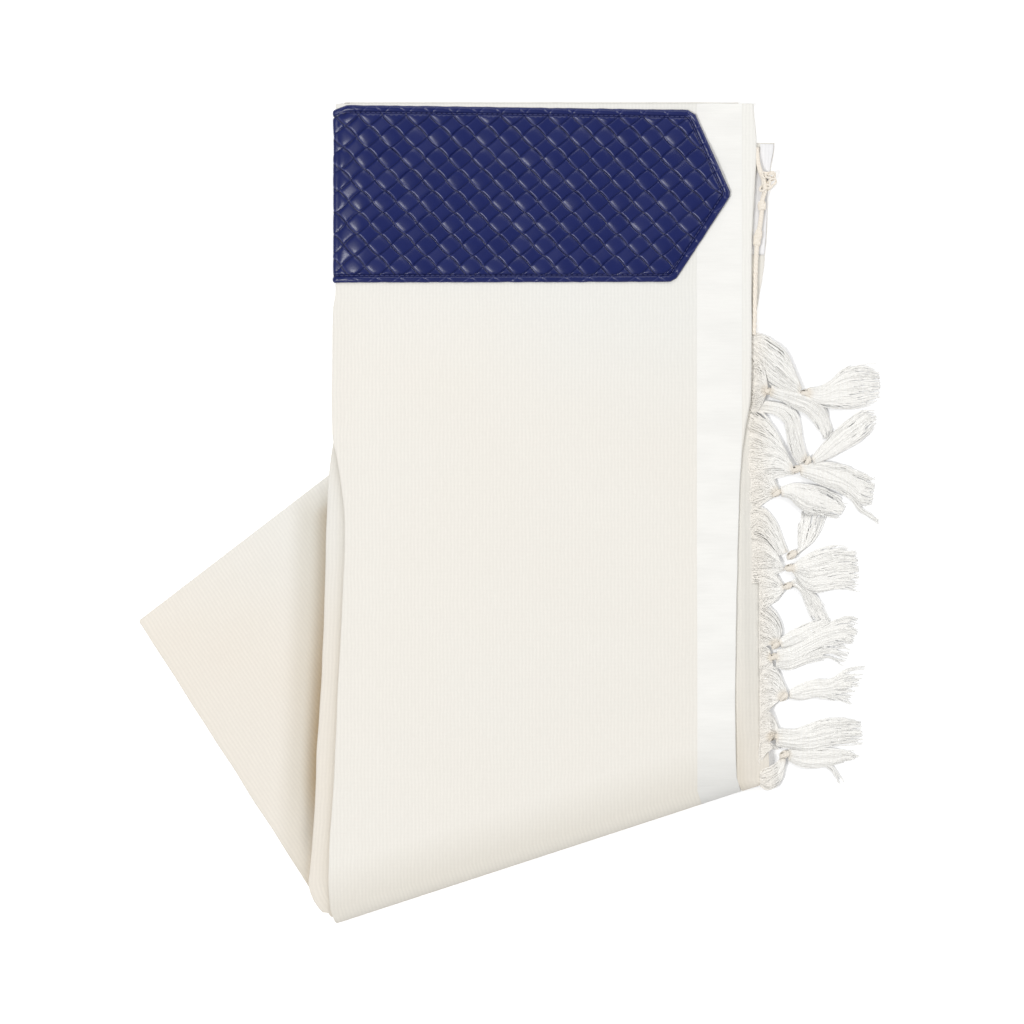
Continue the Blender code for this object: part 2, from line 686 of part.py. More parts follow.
def tassel(name, x, y, half_width, tail_height, fan_high, fan_low):
    """A tied tassel: a knot with a brush of strands one way and a fan to the cloth's edge the other."""
    knot = Vector((x, y, KNOT_RADIUS + 0.6))
    path = [Vector((px, py, tail_height)) for px, py in TAILS[name]]
    ahead = (path[0] - knot).to_2d().normalized().to_3d()
    fan_middle = (fan_high + fan_low) / 2
    back = Vector((cloth_edge(fan_middle)[0] - x, fan_middle - y, 0.0)).normalized()
    up = Vector((0.0, 0.0, 1.0))
    bm = bmesh.new()
    bmesh.ops.create_uvsphere(bm, u_segments=8, v_segments=5, radius=KNOT_RADIUS)
    for v in bm.verts:
        v.co = knot + ahead * v.co.z * 1.1 + up.cross(ahead) * v.co.x + up * v.co.y * 0.9
    bmesh.ops.recalc_face_normals(bm, faces=bm.faces)
    place_of = {f: f.calc_center_median() - knot for f in bm.faces}

    def group(faces, way, count, upper):
        """The faces of the knot's upper or lower half that look most along a way, side by side."""
        half = [f for f in faces if (place_of[f].z > 0) == upper]
        half.sort(key=lambda f: -place_of[f].dot(way))
        return sorted(half[:count], key=lambda f: place_of[f].dot(up.cross(way)))

    faces = list(bm.faces)
    count = tail_strands(half_width)
    tail = [(upper, group(faces, ahead, count, upper)) for upper in (True, False)]
    used = {f for _, half in tail for f in half}
    rest = [f for f in faces if f not in used]
    fan = [(upper, group(rest, back, FAN_STRANDS, upper)) for upper in (True, False)]
    for upper, half in tail:
        for rank, face in enumerate(half):
            spots = tail_spots(path, knot, half_width, rank / (len(half) - 1), upper)
            strand(bm, face, spots, tail_radii(half_width))
    for upper, half in fan:
        for rank, face in enumerate(half):
            share = rank / (len(half) - 1)
            if not upper:
                share = 0.12 + 0.76 * share
            end_y = fan_high + (fan_low - fan_high) * share
            end_x, end_z = cloth_edge(end_y)
            end_z += EDGE_HEIGHT + (0.7 if upper else 0.0)
            end = Vector((end_x + 0.75, end_y, end_z))
            middle = place_of[face].lerp(end - knot, 0.45) + knot
            strand(bm, face, [middle, end], (0.8 * STRAND_SIDE, 0.5 * STRAND_SIDE))
    bmesh.ops.recalc_face_normals(bm, faces=bm.faces)
    for v in bm.verts:
        v.co *= MM
    mesh = bpy.data.meshes.new(name)
    bm.to_mesh(mesh)
    bm.free()
    return finish(name, mesh, YARN, 0.92)


top_ply()
second_ply()
inner_layers()
end_ply()
flap_ply()
flap_layers()
corner_patch()
neckband()
corner_cord()
for row in FRINGE:
    tassel(*row)
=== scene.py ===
import itertools
import math
import random

import bmesh
import bpy
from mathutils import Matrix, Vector, noise


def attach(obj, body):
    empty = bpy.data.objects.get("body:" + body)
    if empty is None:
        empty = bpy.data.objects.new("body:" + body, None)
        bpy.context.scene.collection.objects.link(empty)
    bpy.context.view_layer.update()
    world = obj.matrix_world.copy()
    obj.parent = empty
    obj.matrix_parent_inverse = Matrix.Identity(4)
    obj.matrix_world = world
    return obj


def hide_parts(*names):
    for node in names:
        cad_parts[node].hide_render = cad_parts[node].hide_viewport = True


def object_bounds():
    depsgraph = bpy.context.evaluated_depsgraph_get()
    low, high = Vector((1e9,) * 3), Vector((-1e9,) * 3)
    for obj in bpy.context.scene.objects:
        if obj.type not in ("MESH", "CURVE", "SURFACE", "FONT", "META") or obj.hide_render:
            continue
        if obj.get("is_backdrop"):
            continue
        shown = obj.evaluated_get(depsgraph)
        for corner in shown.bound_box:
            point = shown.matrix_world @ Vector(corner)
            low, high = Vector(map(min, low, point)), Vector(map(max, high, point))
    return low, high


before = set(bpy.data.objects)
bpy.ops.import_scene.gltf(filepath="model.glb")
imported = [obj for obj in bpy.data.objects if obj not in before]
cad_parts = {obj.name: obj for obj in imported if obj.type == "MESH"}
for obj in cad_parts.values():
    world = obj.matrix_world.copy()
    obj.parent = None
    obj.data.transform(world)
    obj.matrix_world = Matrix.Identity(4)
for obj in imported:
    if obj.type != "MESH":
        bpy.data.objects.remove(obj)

# A tallit, the Jewish prayer shawl, folded into a long stack and laid flat: ribbed cream wool with
# a woven satin stripe, a neckband of embossed plaited leather, and a tied fringe of wool yarn.
# Sizes are in millimetres until a mesh or curve is made, and the frame is in metres.

cad_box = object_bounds()
MM = 0.001

# ---------------------------------------------------------------- the folded stack's own sizes

CLOTH = 1.1  # wall of the woven cloth as it shows
GAP = 0.3
UNDER_TOP_PLY = 1.3  # the hidden plies lie this far inside the outer face
FLAP_STACK = 6.8  # the part that is turned under
MAIN_STACK = 7.6  # the panel that lies on it
BASE = FLAP_STACK + GAP
TOP = BASE + MAIN_STACK
LEFT_FOLD = 1.6  # radius of the top ply's left fold
# The top ply's right fold: its radius where it is pressed flat, how much rounder it is in the
# upper half, and the height at which it starts to be rounder and over what length.
RIGHT_FOLD, RIGHT_FOLD_MORE = 0.9, 1.6
RIGHT_FOLD_FLAT_TO, RIGHT_FOLD_CHANGE = -30.0, 70.0
FOLD_LEG = 6.0  # how far the cloth runs back under, past a fold
SECOND_FOLD = (MAIN_STACK - 2 * LEFT_FOLD - GAP) / 2
INNER_INSET = 10.3  # the hidden plies stop this far inside the top ply's edges
TOP_EDGE_Y = 277.0
TOP_PLY_EDGE_Y = 275.8
BOTTOM_LEFT = (-119.5, -278.7)
BOTTOM_SLOPE = 0.3265
FOLD_REACH = 1.4  # the bottom fold stands out more than it is thick, by this ratio
FOLD_MID = TOP / 2
BOTTOM_ANGLE = math.atan(BOTTOM_SLOPE)
FOLD_OUT = (math.sin(BOTTOM_ANGLE), -math.cos(BOTTOM_ANGLE))
FOLD_INSET = FOLD_REACH * FOLD_MID / math.cos(BOTTOM_ANGLE)
FLAP_CORNER = (-251.0, -73.4)
FLAP_HIDDEN_CORNER = (-43.2, 85.9)
FLAP_FOLD_LEFT = (-125.4, -269.6)
FLAP_FOLD_RIGHT = (172.0, -172.4)
FLAP_REACH = 1.35  # the same ratio for the flap's rolled edge
FLAP_MID = FLAP_STACK / 2
ROLL_INSET = FLAP_REACH * FLAP_MID
# Past the flap the main stack comes down to the table: from this far out, over this length.
DRAPE_START, DRAPE_LENGTH = 8.0, 62.0

# Edges of the panels, one row for each height on the panel: (y, x).
TOP_PLY_LEFT = (
    (277.0, -118.0), (150.0, -118.0), (138.0, -119.6), (55.0, -119.9), (33.8, -116.4),
    (14.9, -113.4), (-7.4, -111.5), (-67.5, -113.4), (-112.7, -115.8), (-179.5, -118.8),
    (-241.9, -122.5), (-277.0, -121.0),
)
TOP_PLY_RIGHT = (
    (277.0, 164.7), (251.0, 166.7), (177.0, 163.4), (129.6, 163.4), (76.0, 162.6), (56.0, 159.0),
    (28.0, 155.9), (-12.0, 154.2), (-53.0, 153.2), (-93.0, 152.3), (-140.0, 151.7),
    (-190.0, 152.8),
)
SECOND_PLY_LEFT = (
    (277.0, -112.2), (154.6, -112.6), (80.0, -115.2), (55.4, -117.8), (38.5, -120.5),
    (16.2, -123.1), (-67.5, -125.6), (-126.9, -128.1), (-160.7, -130.3), (-207.9, -132.3),
    (-241.7, -135.1), (-252.0, -135.8), (-261.2, -133.0), (-268.0, -128.5), (-275.0, -122.9),
)
END_PLY_RIGHT = (
    (249.0, 178.8), (232.0, 176.4), (213.0, 174.3), (199.0, 174.2), (167.4, 172.0),
    (151.9, 169.7), (133.7, 166.8), (119.0, 166.4), (60.0, 168.0), (-20.0, 170.0),
    (-120.0, 171.6), (-188.0, 172.5),
)
END_PLY_TOP_Y = 249.6
END_PLY_HEIGHT = 1.3
RIGHT_WAVER = (0.3, 17.0, 7.7)  # how the right fold strays: by how much, over what, its seed
EXTRA_START = 0.86  # how far down the panel its lower plies start to run past the bottom fold
# The end ply is held up by the front's fold, and more so near its top.
RAISED, RAISED_MORE, RAISED_MORE_FROM, RAISED_WIDTH = 1.5, 1.6, 165.0, 13.0
RAISED_INSIDE, RAISED_INSIDE_WIDTH = 1.25, 6.5

# The satin stripe, in the cloth's own width from the panel's middle line.
STRIPE = (126.2, 156.6)


def along(table, at):
    """The second column of a table at a value of its falling first column, by smooth steps."""
    if at >= table[0][0]:
        return table[0][1]
    if at <= table[-1][0]:
        return table[-1][1]
    k = next(i for i in range(len(table) - 1) if table[i + 1][0] <= at)
    (y0, x0), (y1, x1) = table[k], table[k + 1]

    def slope(i):
        if i == 0 or i == len(table) - 1:
            return 0.0
        return (table[i + 1][1] - table[i - 1][1]) / (table[i + 1][0] - table[i - 1][0])

    span = y1 - y0
    t = (at - y0) / span
    a = x0 * (1 + 2 * t) * (1 - t) ** 2 + x1 * t * t * (3 - 2 * t)
    b = slope(k) * span * t * (1 - t) ** 2 - slope(k + 1) * span * t * t * (1 - t)
    return a + b


def smooth(t):
    """From 0 up to 1 as t goes from 0 to 1, level at both ends."""
    t = min(1.0, max(0.0, t))
    return t * t * (3 - 2 * t)


def outside(point, start, end):
    """Distance of a point past the line from start to end, on its left-hand side."""
    dx, dy = end[0] - start[0], end[1] - start[1]
    return ((point[1] - start[1]) * dx - (point[0] - start[0]) * dy) / math.hypot(dx, dy)


def base_height(x, y):
    """Height of the main stack's underside: on the flap, or down on the table beside it."""
    past_roll = max(0.0, outside((x, y), FLAP_CORNER, FLAP_HIDDEN_CORNER))
    past_side = max(0.0, outside((x, y), FLAP_HIDDEN_CORNER, FLAP_FOLD_RIGHT))
    off = math.hypot(past_roll, past_side)
    return BASE * (1 - smooth((off - DRAPE_START) / DRAPE_LENGTH))


def fold_line(x):
    """The y where the panel starts to turn round the bottom fold."""
    return BOTTOM_LEFT[1] + BOTTOM_SLOPE * (x - BOTTOM_LEFT[0]) + FOLD_INSET


def row_y(x, t, top=TOP_EDGE_Y):
    """Where the row t of the panel lies at x: from 0 at its top edge to 1 at the bottom fold."""
    return top + (fold_line(x) - top) * t


def place(x, t, height, turn=0.0, extra=0.0, top=TOP_EDGE_Y):
    """A point of the main stack: t runs down the panel, then turn runs round the bottom fold."""
    y = row_y(x, t, top)
    slide = extra * smooth((t - EXTRA_START) / (1 - EXTRA_START))
    if turn == 0.0:
        return (x + slide * FOLD_OUT[0], y + slide * FOLD_OUT[1], base_height(x, y) + height)
    radius = BASE + height - FOLD_MID
    out = FOLD_REACH * radius * math.sin(turn) + slide
    return (x + out * FOLD_OUT[0], y + out * FOLD_OUT[1], FOLD_MID + radius * math.cos(turn))


def edge_at(table, t, turn):
    """An edge's x on the row t of the panel, or at a turn of the bottom fold."""
    x = table[-1][1]
    for _ in range(4):
        y = row_y(x, t) - FOLD_REACH * FOLD_MID * math.sin(min(turn, math.pi / 2))
        x = along(table, y)
    return x


def waver(y, depth, length, seed, layer=0.0):
    """How far a hand-folded edge strays at y."""
    return depth * noise.noise(Vector((seed, y / length, layer)))


def cloth_edge(y):
    """Where the end ply's free edge stands at y, for the fringe that is tied on it."""
    x = along(END_PLY_RIGHT, y)
    t = (TOP_EDGE_Y - y) / (TOP_EDGE_Y - fold_line(x))
    extra = FOLD_REACH * (MAIN_STACK - END_PLY_HEIGHT)
    return x + extra * FOLD_OUT[0] * smooth((t - EXTRA_START) / (1 - EXTRA_START))


def stations(rows, bend_rows, first=0.0):
    """(t, turn) down the panel and then round the bottom fold."""
    flat = [(first + (1 - first) * k / rows, 0.0) for k in range(rows + 1)]
    return flat + [(1.0, math.pi * k / bend_rows) for k in range(1, bend_rows + 1)]


def fold(radius, start, end, steps):
    """(x, z, length round) of points on a fold's outer face, in degrees from +X towards +Z."""
    out = []
    for k in range(steps + 1):
        a = math.radians(start + (end - start) * k / steps)
        length = radius * abs(math.radians(end - start)) * k / steps
        out.append((radius * math.cos(a), radius * math.sin(a), length))
    return out


# ---------------------------------------------------------------- colours, nodes and finishes

# Settings that many nodes share.
SINE = {"operation": "SINE"}
TIMES = {"operation": "MULTIPLY"}
TIMES_PLUS = {"operation": "MULTIPLY_ADD"}
SCALED = {"operation": "SCALE"}
NUMBERS, COLOURS = {"data_type": "FLOAT"}, {"data_type": "RGBA"}
FLAT_NOISE = {"noise_dimensions": "2D"}
STRETCHED = {"vector_type": "TEXTURE"}
SOFTENED = {"interpolation_type": "SMOOTHSTEP"}

# Distances over the cloth, in metres: between its ribs and between its crossing picks, the size
# of its slubs and of the satin's lines and ripples, and how softly each border runs.
RIB_PITCH, PICK_PITCH = 0.0024, 0.0026
SLUB_SIZE = (0.0014, 0.011, 1.0)
SATIN_LINE_SIZE, SATIN_RIPPLE_SIZE = (0.02, 0.0009, 1.0), (0.045, 0.016, 1.0)
STRIPE_BLUR, SELVEDGE_BLUR, PAINTED_TONE_BLUR = 0.0002, 0.0004, 0.06

WOOL_ROUGHNESS, SATIN_ROUGHNESS = 0.92, 0.42
WOOL_EVENED = 0.3
# Painted shade: what the wool's colour is multiplied by where a fold is deepest, and part of the
# way in.
PAINTED_SHADE_BROWN, PAINTED_SHADE_GREY, PAINTED_SHADE_GREY_AT = (0.60, 0.46, 0.27, 1.0), (0.84, 0.825, 0.79, 1.0), 0.45


def linear(code):
    """An sRGB hex colour as a linear RGBA tuple."""
    parts = [int(code[k:k + 2], 16) / 255 for k in (0, 2, 4)]
    made = [c / 12.92 if c <= 0.04045 else ((c + 0.055) / 1.055) ** 2.4 for c in parts]
    return (*made, 1.0)


def add(tree, kind, settings=None, values=None, links=None):
    """Add one node with its settings, the values of its inputs, and what feeds them.

    The kind of a shader node is given without its prefix. A node that feeds an input feeds it
    from its first live output.
    """
    node = tree.nodes.new(kind if "Node" in kind else "ShaderNode" + kind)
    for name, value in (settings or {}).items():
        setattr(node, name, value)
    for name, value in (values or {}).items():
        node.inputs[name].default_value = value
    for name, source in (links or {}).items():
        if isinstance(source, bpy.types.Node):
            source = next(output for output in source.outputs if output.enabled)
        tree.links.new(source, node.inputs[name])
    return node


def new_finish(name):
    """An empty material and its node tree."""
    finish = bpy.data.materials.new(name)
    finish.use_nodes = True
    finish.node_tree.nodes.clear()
    return finish, finish.node_tree


def close_finish(finish, values, links):
    """End a material with its Principled shader, whose constant values are on its own sockets."""
    shader = add(finish.node_tree, "BsdfPrincipled", {}, values, links)
    add(finish.node_tree, "OutputMaterial", links={"Surface": shader})
    return finish


def evened(tree, normal, share):
    """The normal turned towards straight up by a share, for a soft thing that light spreads in."""
    values = {1: (1 - share,) * 3, 2: (0.0, 0.0, share)}
    faced = add(tree, "VectorMath", TIMES_PLUS, values, {0: normal})
    return add(tree, "VectorMath", {"operation": "NORMALIZE"}, {}, {0: faced})


def satin_stripe(tree, spot, u, v, stripe, wool, weave):
    """Weave a satin stripe into the wool: the colour, height and roughness of the whole cloth.

    Inside the stripe the weft floats: smooth, bright and glossy, with fine crossing lines. Its
    colour has painted shade: darker over its ripples, and darker towards the bottom fold, where
    its floats turn away from the light. The selvedge past the stripe is a little paler near the
    top.
    """
    start, end = stripe[0] * MM, stripe[1] * MM
    lines, ripples = (
        add(
            tree, "TexNoise", FLAT_NOISE, {"Scale": 1.0, "Detail": 2.0, "Roughness": rough},
            {"Vector": add(tree, "Mapping", STRETCHED, {"Scale": size}, {"Vector": spot})},
        )
        for size, rough in ((SATIN_LINE_SIZE, 0.5), (SATIN_RIPPLE_SIZE, 0.45))
    )
    left, inside, past, line_tone, painted_ripple_shade, low, pale = (
        add(
            tree, "MapRange", settings,
            {"From Min": at, "From Max": to, "To Min": first, "To Max": last}, {"Value": source},
        )
        for settings, source, at, to, first, last in (
            ({}, u, start - STRIPE_BLUR, start + STRIPE_BLUR, 0.0, 1.0),
            ({}, u, end + STRIPE_BLUR, end - STRIPE_BLUR, 0.0, 1.0),
            ({}, u, end, end + SELVEDGE_BLUR, 0.0, 0.045),
            ({}, lines, 0.25, 0.75, 0.975, 1.0),
            ({}, ripples, 0.35, 0.6, 0.965, 1.0),
            (SOFTENED, v, 0.41, 0.485, 1.0, 0.78),
            (SOFTENED, v, 0.12, 0.34, 1.0, 0.0),
        )
    )
    mask = add(tree, "Math", TIMES, {}, {0: left, 1: inside})
    height = add(tree, "Math", TIMES_PLUS, {1: 2.4}, {0: ripples, 2: lines})
    # painted shade: the satin is darker over its ripples and towards the bottom fold
    painted_satin_shade = add(tree, "Math", TIMES, {}, {0: low, 1: painted_ripple_shade})
    tone = add(tree, "Math", TIMES, {}, {0: line_tone, 1: painted_satin_shade})
    satin = add(tree, "VectorMath", SCALED, {0: linear("F3F2EE")[:3]}, {"Scale": tone})
    lift = add(tree, "Math", TIMES_PLUS, {2: 1.0}, {0: past, 1: pale})
    selvedge = add(tree, "VectorMath", SCALED, {}, {0: wool, "Scale": lift})
    return (
        add(tree, "Mix", COLOURS, {}, {0: mask, 6: selvedge, 7: satin}),
        add(tree, "Mix", NUMBERS, {}, {0: mask, 2: weave, 3: height}),
        add(tree, "Mix", NUMBERS, {2: WOOL_ROUGHNESS, 3: SATIN_ROUGHNESS}, {0: mask}),
    )


def ribbed_wool(name, stripe=None, warm="EAE6DE", cool="E9E8E3", painted_tone_line=None):
    """Wool woven with fine lengthways ribs, dull and dry, with a satin stripe woven in if given.

    Its ribs and crossing picks are set by their pitches. The real picks are nearer 0.6 mm apart,
    drawn coarser here so that they show. Light passes through loose wool, so its shade is evened
    out towards an upward face.
    """
    finish, tree = new_finish(name)
    spot = add(tree, "UVMap", {"uv_map": "cloth"})
    parts = add(tree, "SeparateXYZ", {}, {}, {"Vector": spot})
    u, v = parts.outputs["X"], parts.outputs["Y"]
    long_spot = add(tree, "Mapping", STRETCHED, {"Scale": SLUB_SIZE}, {"Vector": spot})
    drift, slub, fuzz, cloud = (
        add(
            tree, "TexNoise", FLAT_NOISE,
            {"Scale": scale, "Detail": detail, "Roughness": rough}, {"Vector": where},
        )
        for where, scale, detail, rough in (
            (spot, 55.0, 2.0, 0.5), (long_spot, 1.0, 3.0, 0.6),
            (spot, 330.0, 5.0, 0.7), (spot, 9.0, 3.0, 0.55),
        )
    )
    shift = add(tree, "Math", TIMES, {1: 5.0}, {0: drift})
    rib_turns, pick_turns = (
        add(tree, "Math", TIMES_PLUS, {1: 2 * math.pi / pitch}, {0: way, 2: shift})
        for way, pitch in ((u, RIB_PITCH), (v, PICK_PITCH))
    )
    rib = add(tree, "Math", SINE, {}, {0: rib_turns})
    pick = add(tree, "Math", SINE, {}, {0: pick_turns})
    rib_size = add(tree, "Math", TIMES, {1: 0.55}, {0: slub})
    weave = add(tree, "Math", TIMES_PLUS, {2: 0.5}, {0: rib, 1: rib_size})
    for part, share in ((pick, 0.05), (slub, 0.6), (fuzz, 0.5)):
        weave = add(tree, "Math", TIMES_PLUS, {1: share}, {0: part, 2: weave})
    tone = cloud
    if painted_tone_line:
        # painted shade: warmer below and to the left of a line over the panel, cooler and greyer
        # above it
        way, middle = painted_tone_line
        panel = add(tree, "TexCoord").outputs["Object"]
        across = add(tree, "VectorMath", {"operation": "DOT_PRODUCT"}, {1: way}, {0: panel})
        over = add(
            tree, "MapRange", SOFTENED,
            {"From Min": middle - PAINTED_TONE_BLUR, "From Max": middle + PAINTED_TONE_BLUR,
             "To Min": 0.7, "To Max": -0.1},
            {"Value": across},
        )
        tone = add(tree, "Math", {**TIMES_PLUS, "use_clamp": True}, {1: 0.5}, {0: cloud, 2: over})
    cream = add(tree, "Mix", COLOURS, {6: linear(cool), 7: linear(warm)}, {0: tone})
    shade = add(
        tree, "MapRange", {},
        {"From Min": 0.6, "From Max": 1.5, "To Min": 0.955, "To Max": 1.025}, {"Value": weave},
    )
    # painted shade: deep in a fold the wool is made duller and then browner, as light passing from
    # ply to ply makes it
    painted_shade = add(tree, "Attribute", {"attribute_name": "painted_shade"}).outputs["Fac"]
    fold_tones = add(tree, "ValToRGB", {}, {}, {"Fac": painted_shade})
    stops = fold_tones.color_ramp.elements
    stops[0].color, stops[1].color = linear("FFFFFF"), PAINTED_SHADE_BROWN
    stops.new(PAINTED_SHADE_GREY_AT).color = PAINTED_SHADE_GREY
    browner = add(tree, "VectorMath", TIMES, {}, {0: cream, 1: fold_tones})
    colour = add(tree, "VectorMath", SCALED, {}, {0: browner, "Scale": shade})
    values = {"Sheen Weight": 0.18, "Sheen Roughness": 0.6, "IOR": 1.5, "Metallic": 0.0}
    links = {}
    if stripe:
        colour, weave, links["Roughness"] = satin_stripe(tree, spot, u, v, stripe, colour, weave)
    else:
        values["Roughness"] = WOOL_ROUGHNESS
    bump = add(tree, "Bump", {}, {"Strength": 0.55, "Distance": 0.00025}, {"Height": weave})
    links.update({"Base Color": colour, "Normal": evened(tree, bump, WOOL_EVENED)})
    return close_finish(finish, values, links)


def yarn_finish(name, light, dark, twist_pitch, even=0.0):
    """Plied wool yarn: soft, dry and slightly hairy, with the plies' turns as slanting lines.

    Light spreads through combed-out fibres, so their shade is evened out towards an upward face,
    by the share given. In a knot and where it leaves the cloth the yarn has painted shade: it is
    made darker and creamier.
    """
    finish, tree = new_finish(name)
    length, around, painted_yarn_shade = (
        add(tree, "Attribute", {"attribute_name": label}).outputs["Fac"]
        for label in ("along", "around", "painted_yarn_shade")
    )
    turns = add(tree, "Math", TIMES, {1: 2 * math.pi / twist_pitch}, {0: length})
    ply = add(tree, "Math", TIMES_PLUS, {1: 4 * math.pi}, {0: around, 2: turns})
    wave = add(tree, "Math", SINE, {}, {0: ply})
    run = add(tree, "Math", TIMES, {1: 400.0}, {0: length})
    strand = add(tree, "CombineXYZ", {}, {}, {"X": around, "Y": run})
    hair = add(
        tree, "TexNoise", FLAT_NOISE, {"Scale": 1.7, "Detail": 3.0, "Roughness": 0.7},
        {"Vector": strand},
    )
    height = add(tree, "Math", TIMES_PLUS, {1: 0.2}, {0: wave, 2: hair})
    # painted shade: the yarn is a shade darker down in the grooves between its plies, and its hairs
    # vary in tone at random
    lift = add(tree, "MapRange", links={"Value": height})
    plain = add(tree, "Mix", COLOURS, {6: linear(dark), 7: linear(light)}, {0: lift})
    # painted shade: darker and creamier in the knot and where the yarn leaves the cloth
    colour = add(tree, "Mix", COLOURS, {7: linear("E2D6C4")}, {0: painted_yarn_shade, 6: plain})
    bump = add(tree, "Bump", {}, {"Strength": 0.25, "Distance": 0.00015}, {"Height": height})
    return close_finish(
        finish,
        {"Roughness": 0.95, "Sheen Weight": 0.08, "Sheen Roughness": 0.5, "Metallic": 0.0,
         "Specular IOR Level": 0.2},
        {"Base Color": colour, "Normal": evened(tree, bump, even)},
    )


def plaited_leather(name):
    """Navy leather, embossed as a plait and finished with a soft coat: it shines on each strip's
    rounded end, and its fine pebbled grain is about 0.9 mm across.
    """
    finish, tree = new_finish(name)
    spot = add(tree, "UVMap", {"uv_map": "leather"})
    grain = add(
        tree, "TexVoronoi", {"voronoi_dimensions": "2D", "feature": "DISTANCE_TO_EDGE"},
        {"Scale": 1100.0, "Randomness": 1.0}, {"Vector": spot},
    )
    pores, cloud = (
        add(
            tree, "TexNoise", FLAT_NOISE,
            {"Scale": scale, "Detail": detail, "Roughness": rough}, {"Vector": spot},
        )
        for scale, detail, rough in ((900.0, 4.0, 0.65), (60.0, 6.0, 0.75))
    )
    painted_highlight_and_wear, groove = (
        add(tree, "Attribute", {"attribute_name": label}).outputs["Fac"]
        for label in ("painted_highlight_and_wear", "groove")
    )
    dyed = add(tree, "Mix", COLOURS, {6: linear("091650"), 7: linear("14205D")}, {0: cloud})
    # painted highlight and wear: paler towards a purple grey where the attribute says
    painted_highlight = add(tree, "Mix", COLOURS, {7: linear("3E4374")}, {0: painted_highlight_and_wear, 6: dyed})
    colour = add(tree, "Mix", COLOURS, {7: linear("070A22")}, {0: groove, 6: painted_highlight})
    height = add(tree, "Math", TIMES_PLUS, {1: 0.5}, {0: grain, 2: pores})
    bump = add(tree, "Bump", {}, {"Strength": 0.18, "Distance": 0.00015}, {"Height": height})
    gloss = add(tree, "MapRange", {}, {"To Min": 0.27, "To Max": 0.37}, {"Value": pores})
    return close_finish(
        finish, {"Specular IOR Level": 0.40, "Metallic": 0.0, "IOR": 1.48},
        {"Base Color": colour, "Roughness": gloss, "Normal": bump},
    )


def waxed_thread(name, code):
    """Waxed sewing thread, a shade darker than the leather it sews."""
    finish, tree = new_finish(name)
    place_of = add(tree, "TexCoord").outputs["Object"]
    plies = add(tree, "TexNoise", {}, {"Scale": 2200.0, "Detail": 2.0}, {"Vector": place_of})
    bump = add(tree, "Bump", {}, {"Strength": 0.5, "Distance": 0.0001}, {"Height": plies})
    colour = add(tree, "Mix", COLOURS, {6: linear(code), 7: linear("3C4278")}, {0: plies})
    return close_finish(
        finish, {"Roughness": 0.55, "Metallic": 0.0}, {"Base Color": colour, "Normal": bump}
    )


def white_acrylic(name):
    """A light table's white acrylic, lit a little from below, so the shadows on it are pale."""
    finish, tree = new_finish(name)
    place_of = add(tree, "TexCoord").outputs["Object"]
    grit = add(tree, "TexNoise", {}, {"Scale": 6.0, "Detail": 2.0}, {"Vector": place_of})
    colour = add(tree, "Mix", COLOURS, {6: linear("FDFDFD"), 7: linear("FFFFFF")}, {0: grit})
    values = {"Roughness": 0.95, "Emission Color": (1.0,) * 4, "Emission Strength": 0.25}
    return close_finish(finish, values, {"Base Color": colour})


# ---------------------------------------------------------------- meshes

def new_piece(name, data, finish=None):
    """An object of its own, with its finish if given."""
    piece = bpy.data.objects.new(name, data)
    bpy.context.collection.objects.link(piece)
    if finish:
        data.materials.append(finish)
    return piece


def final_mesh(piece):
    """A plain mesh of what a piece's modifiers make."""
    deps = bpy.context.evaluated_depsgraph_get()
    return bpy.data.meshes.new_from_object(
        piece.evaluated_get(deps), preserve_all_data_layers=True, depsgraph=deps
    )


def cloth_mesh(name, spots, faces):
    """A mesh from spots (x, y, z, u, v) in millimetres, where u and v lie in the flat cloth."""
    mesh = bpy.data.meshes.new(name)
    mesh.from_pydata([tuple(c * MM for c in spot[:3]) for spot in spots], [], faces)
    layer = mesh.uv_layers.new(name="cloth")
    for loop in mesh.loops:
        u, v = spots[loop.vertex_index][3:5]
        layer.data[loop.index].uv = (u * MM, v * MM)
    return mesh


def cloth_shell(name, rows, finish, wall=CLOTH):
    """A thin shell, walled inwards from rows of points (x, y, z, u, v, painted shade in folds)."""
    columns = len(rows[0])
    spots = [spot for row in rows for spot in row]
    faces = [
        (a, a + columns, a + columns + 1, a + 1)
        for j in range(len(rows) - 1) for a in range(j * columns, (j + 1) * columns - 1)
    ]
    mesh = cloth_mesh(name, spots, faces)
    painted_shade = mesh.attributes.new("painted_shade", "FLOAT", "POINT")
    painted_shade.data.foreach_set("value", [spot[5] if len(spot) > 5 else 0.0 for spot in spots])
    mesh.shade_smooth()
    piece = new_piece(name, mesh, finish)
    shell = piece.modifiers.new("wall", "SOLIDIFY")
    shell.thickness = wall * MM
    shell.offset = -1.0
    made = final_mesh(piece)
    piece.modifiers.clear()
    piece.data = made
    made.name = name
    return piece


def layered_block(name, spot, sizes, finish):
    """The closed skin of a lattice, placed by spot(i, j, k), which gives (x, y, z, u, v)."""
    index, spots, faces = {}, [], []
    for a, b, c in ((0, 1, 2), (0, 2, 1), (1, 2, 0)):
        steps = range(sizes[a] - 1), range(sizes[b] - 1), (0, sizes[c] - 1)
        for p, q, side in itertools.product(*steps):
            ring = []
            for dp, dq in ((0, 0), (1, 0), (1, 1), (0, 1)):
                at = [0, 0, 0]
                at[a], at[b], at[c] = p + dp, q + dq, side
                if tuple(at) not in index:
                    index[tuple(at)] = len(spots)
                    spots.append(spot(*at))
                ring.append(index[tuple(at)])
            faces.append(ring)
    mesh = cloth_mesh(name, spots, faces)
    bm = bmesh.new()
    bm.from_mesh(mesh)
    bmesh.ops.recalc_face_normals(bm, faces=bm.faces)
    bm.to_mesh(mesh)
    bm.free()
    mesh.shade_smooth()
    return new_piece(name, mesh, finish)


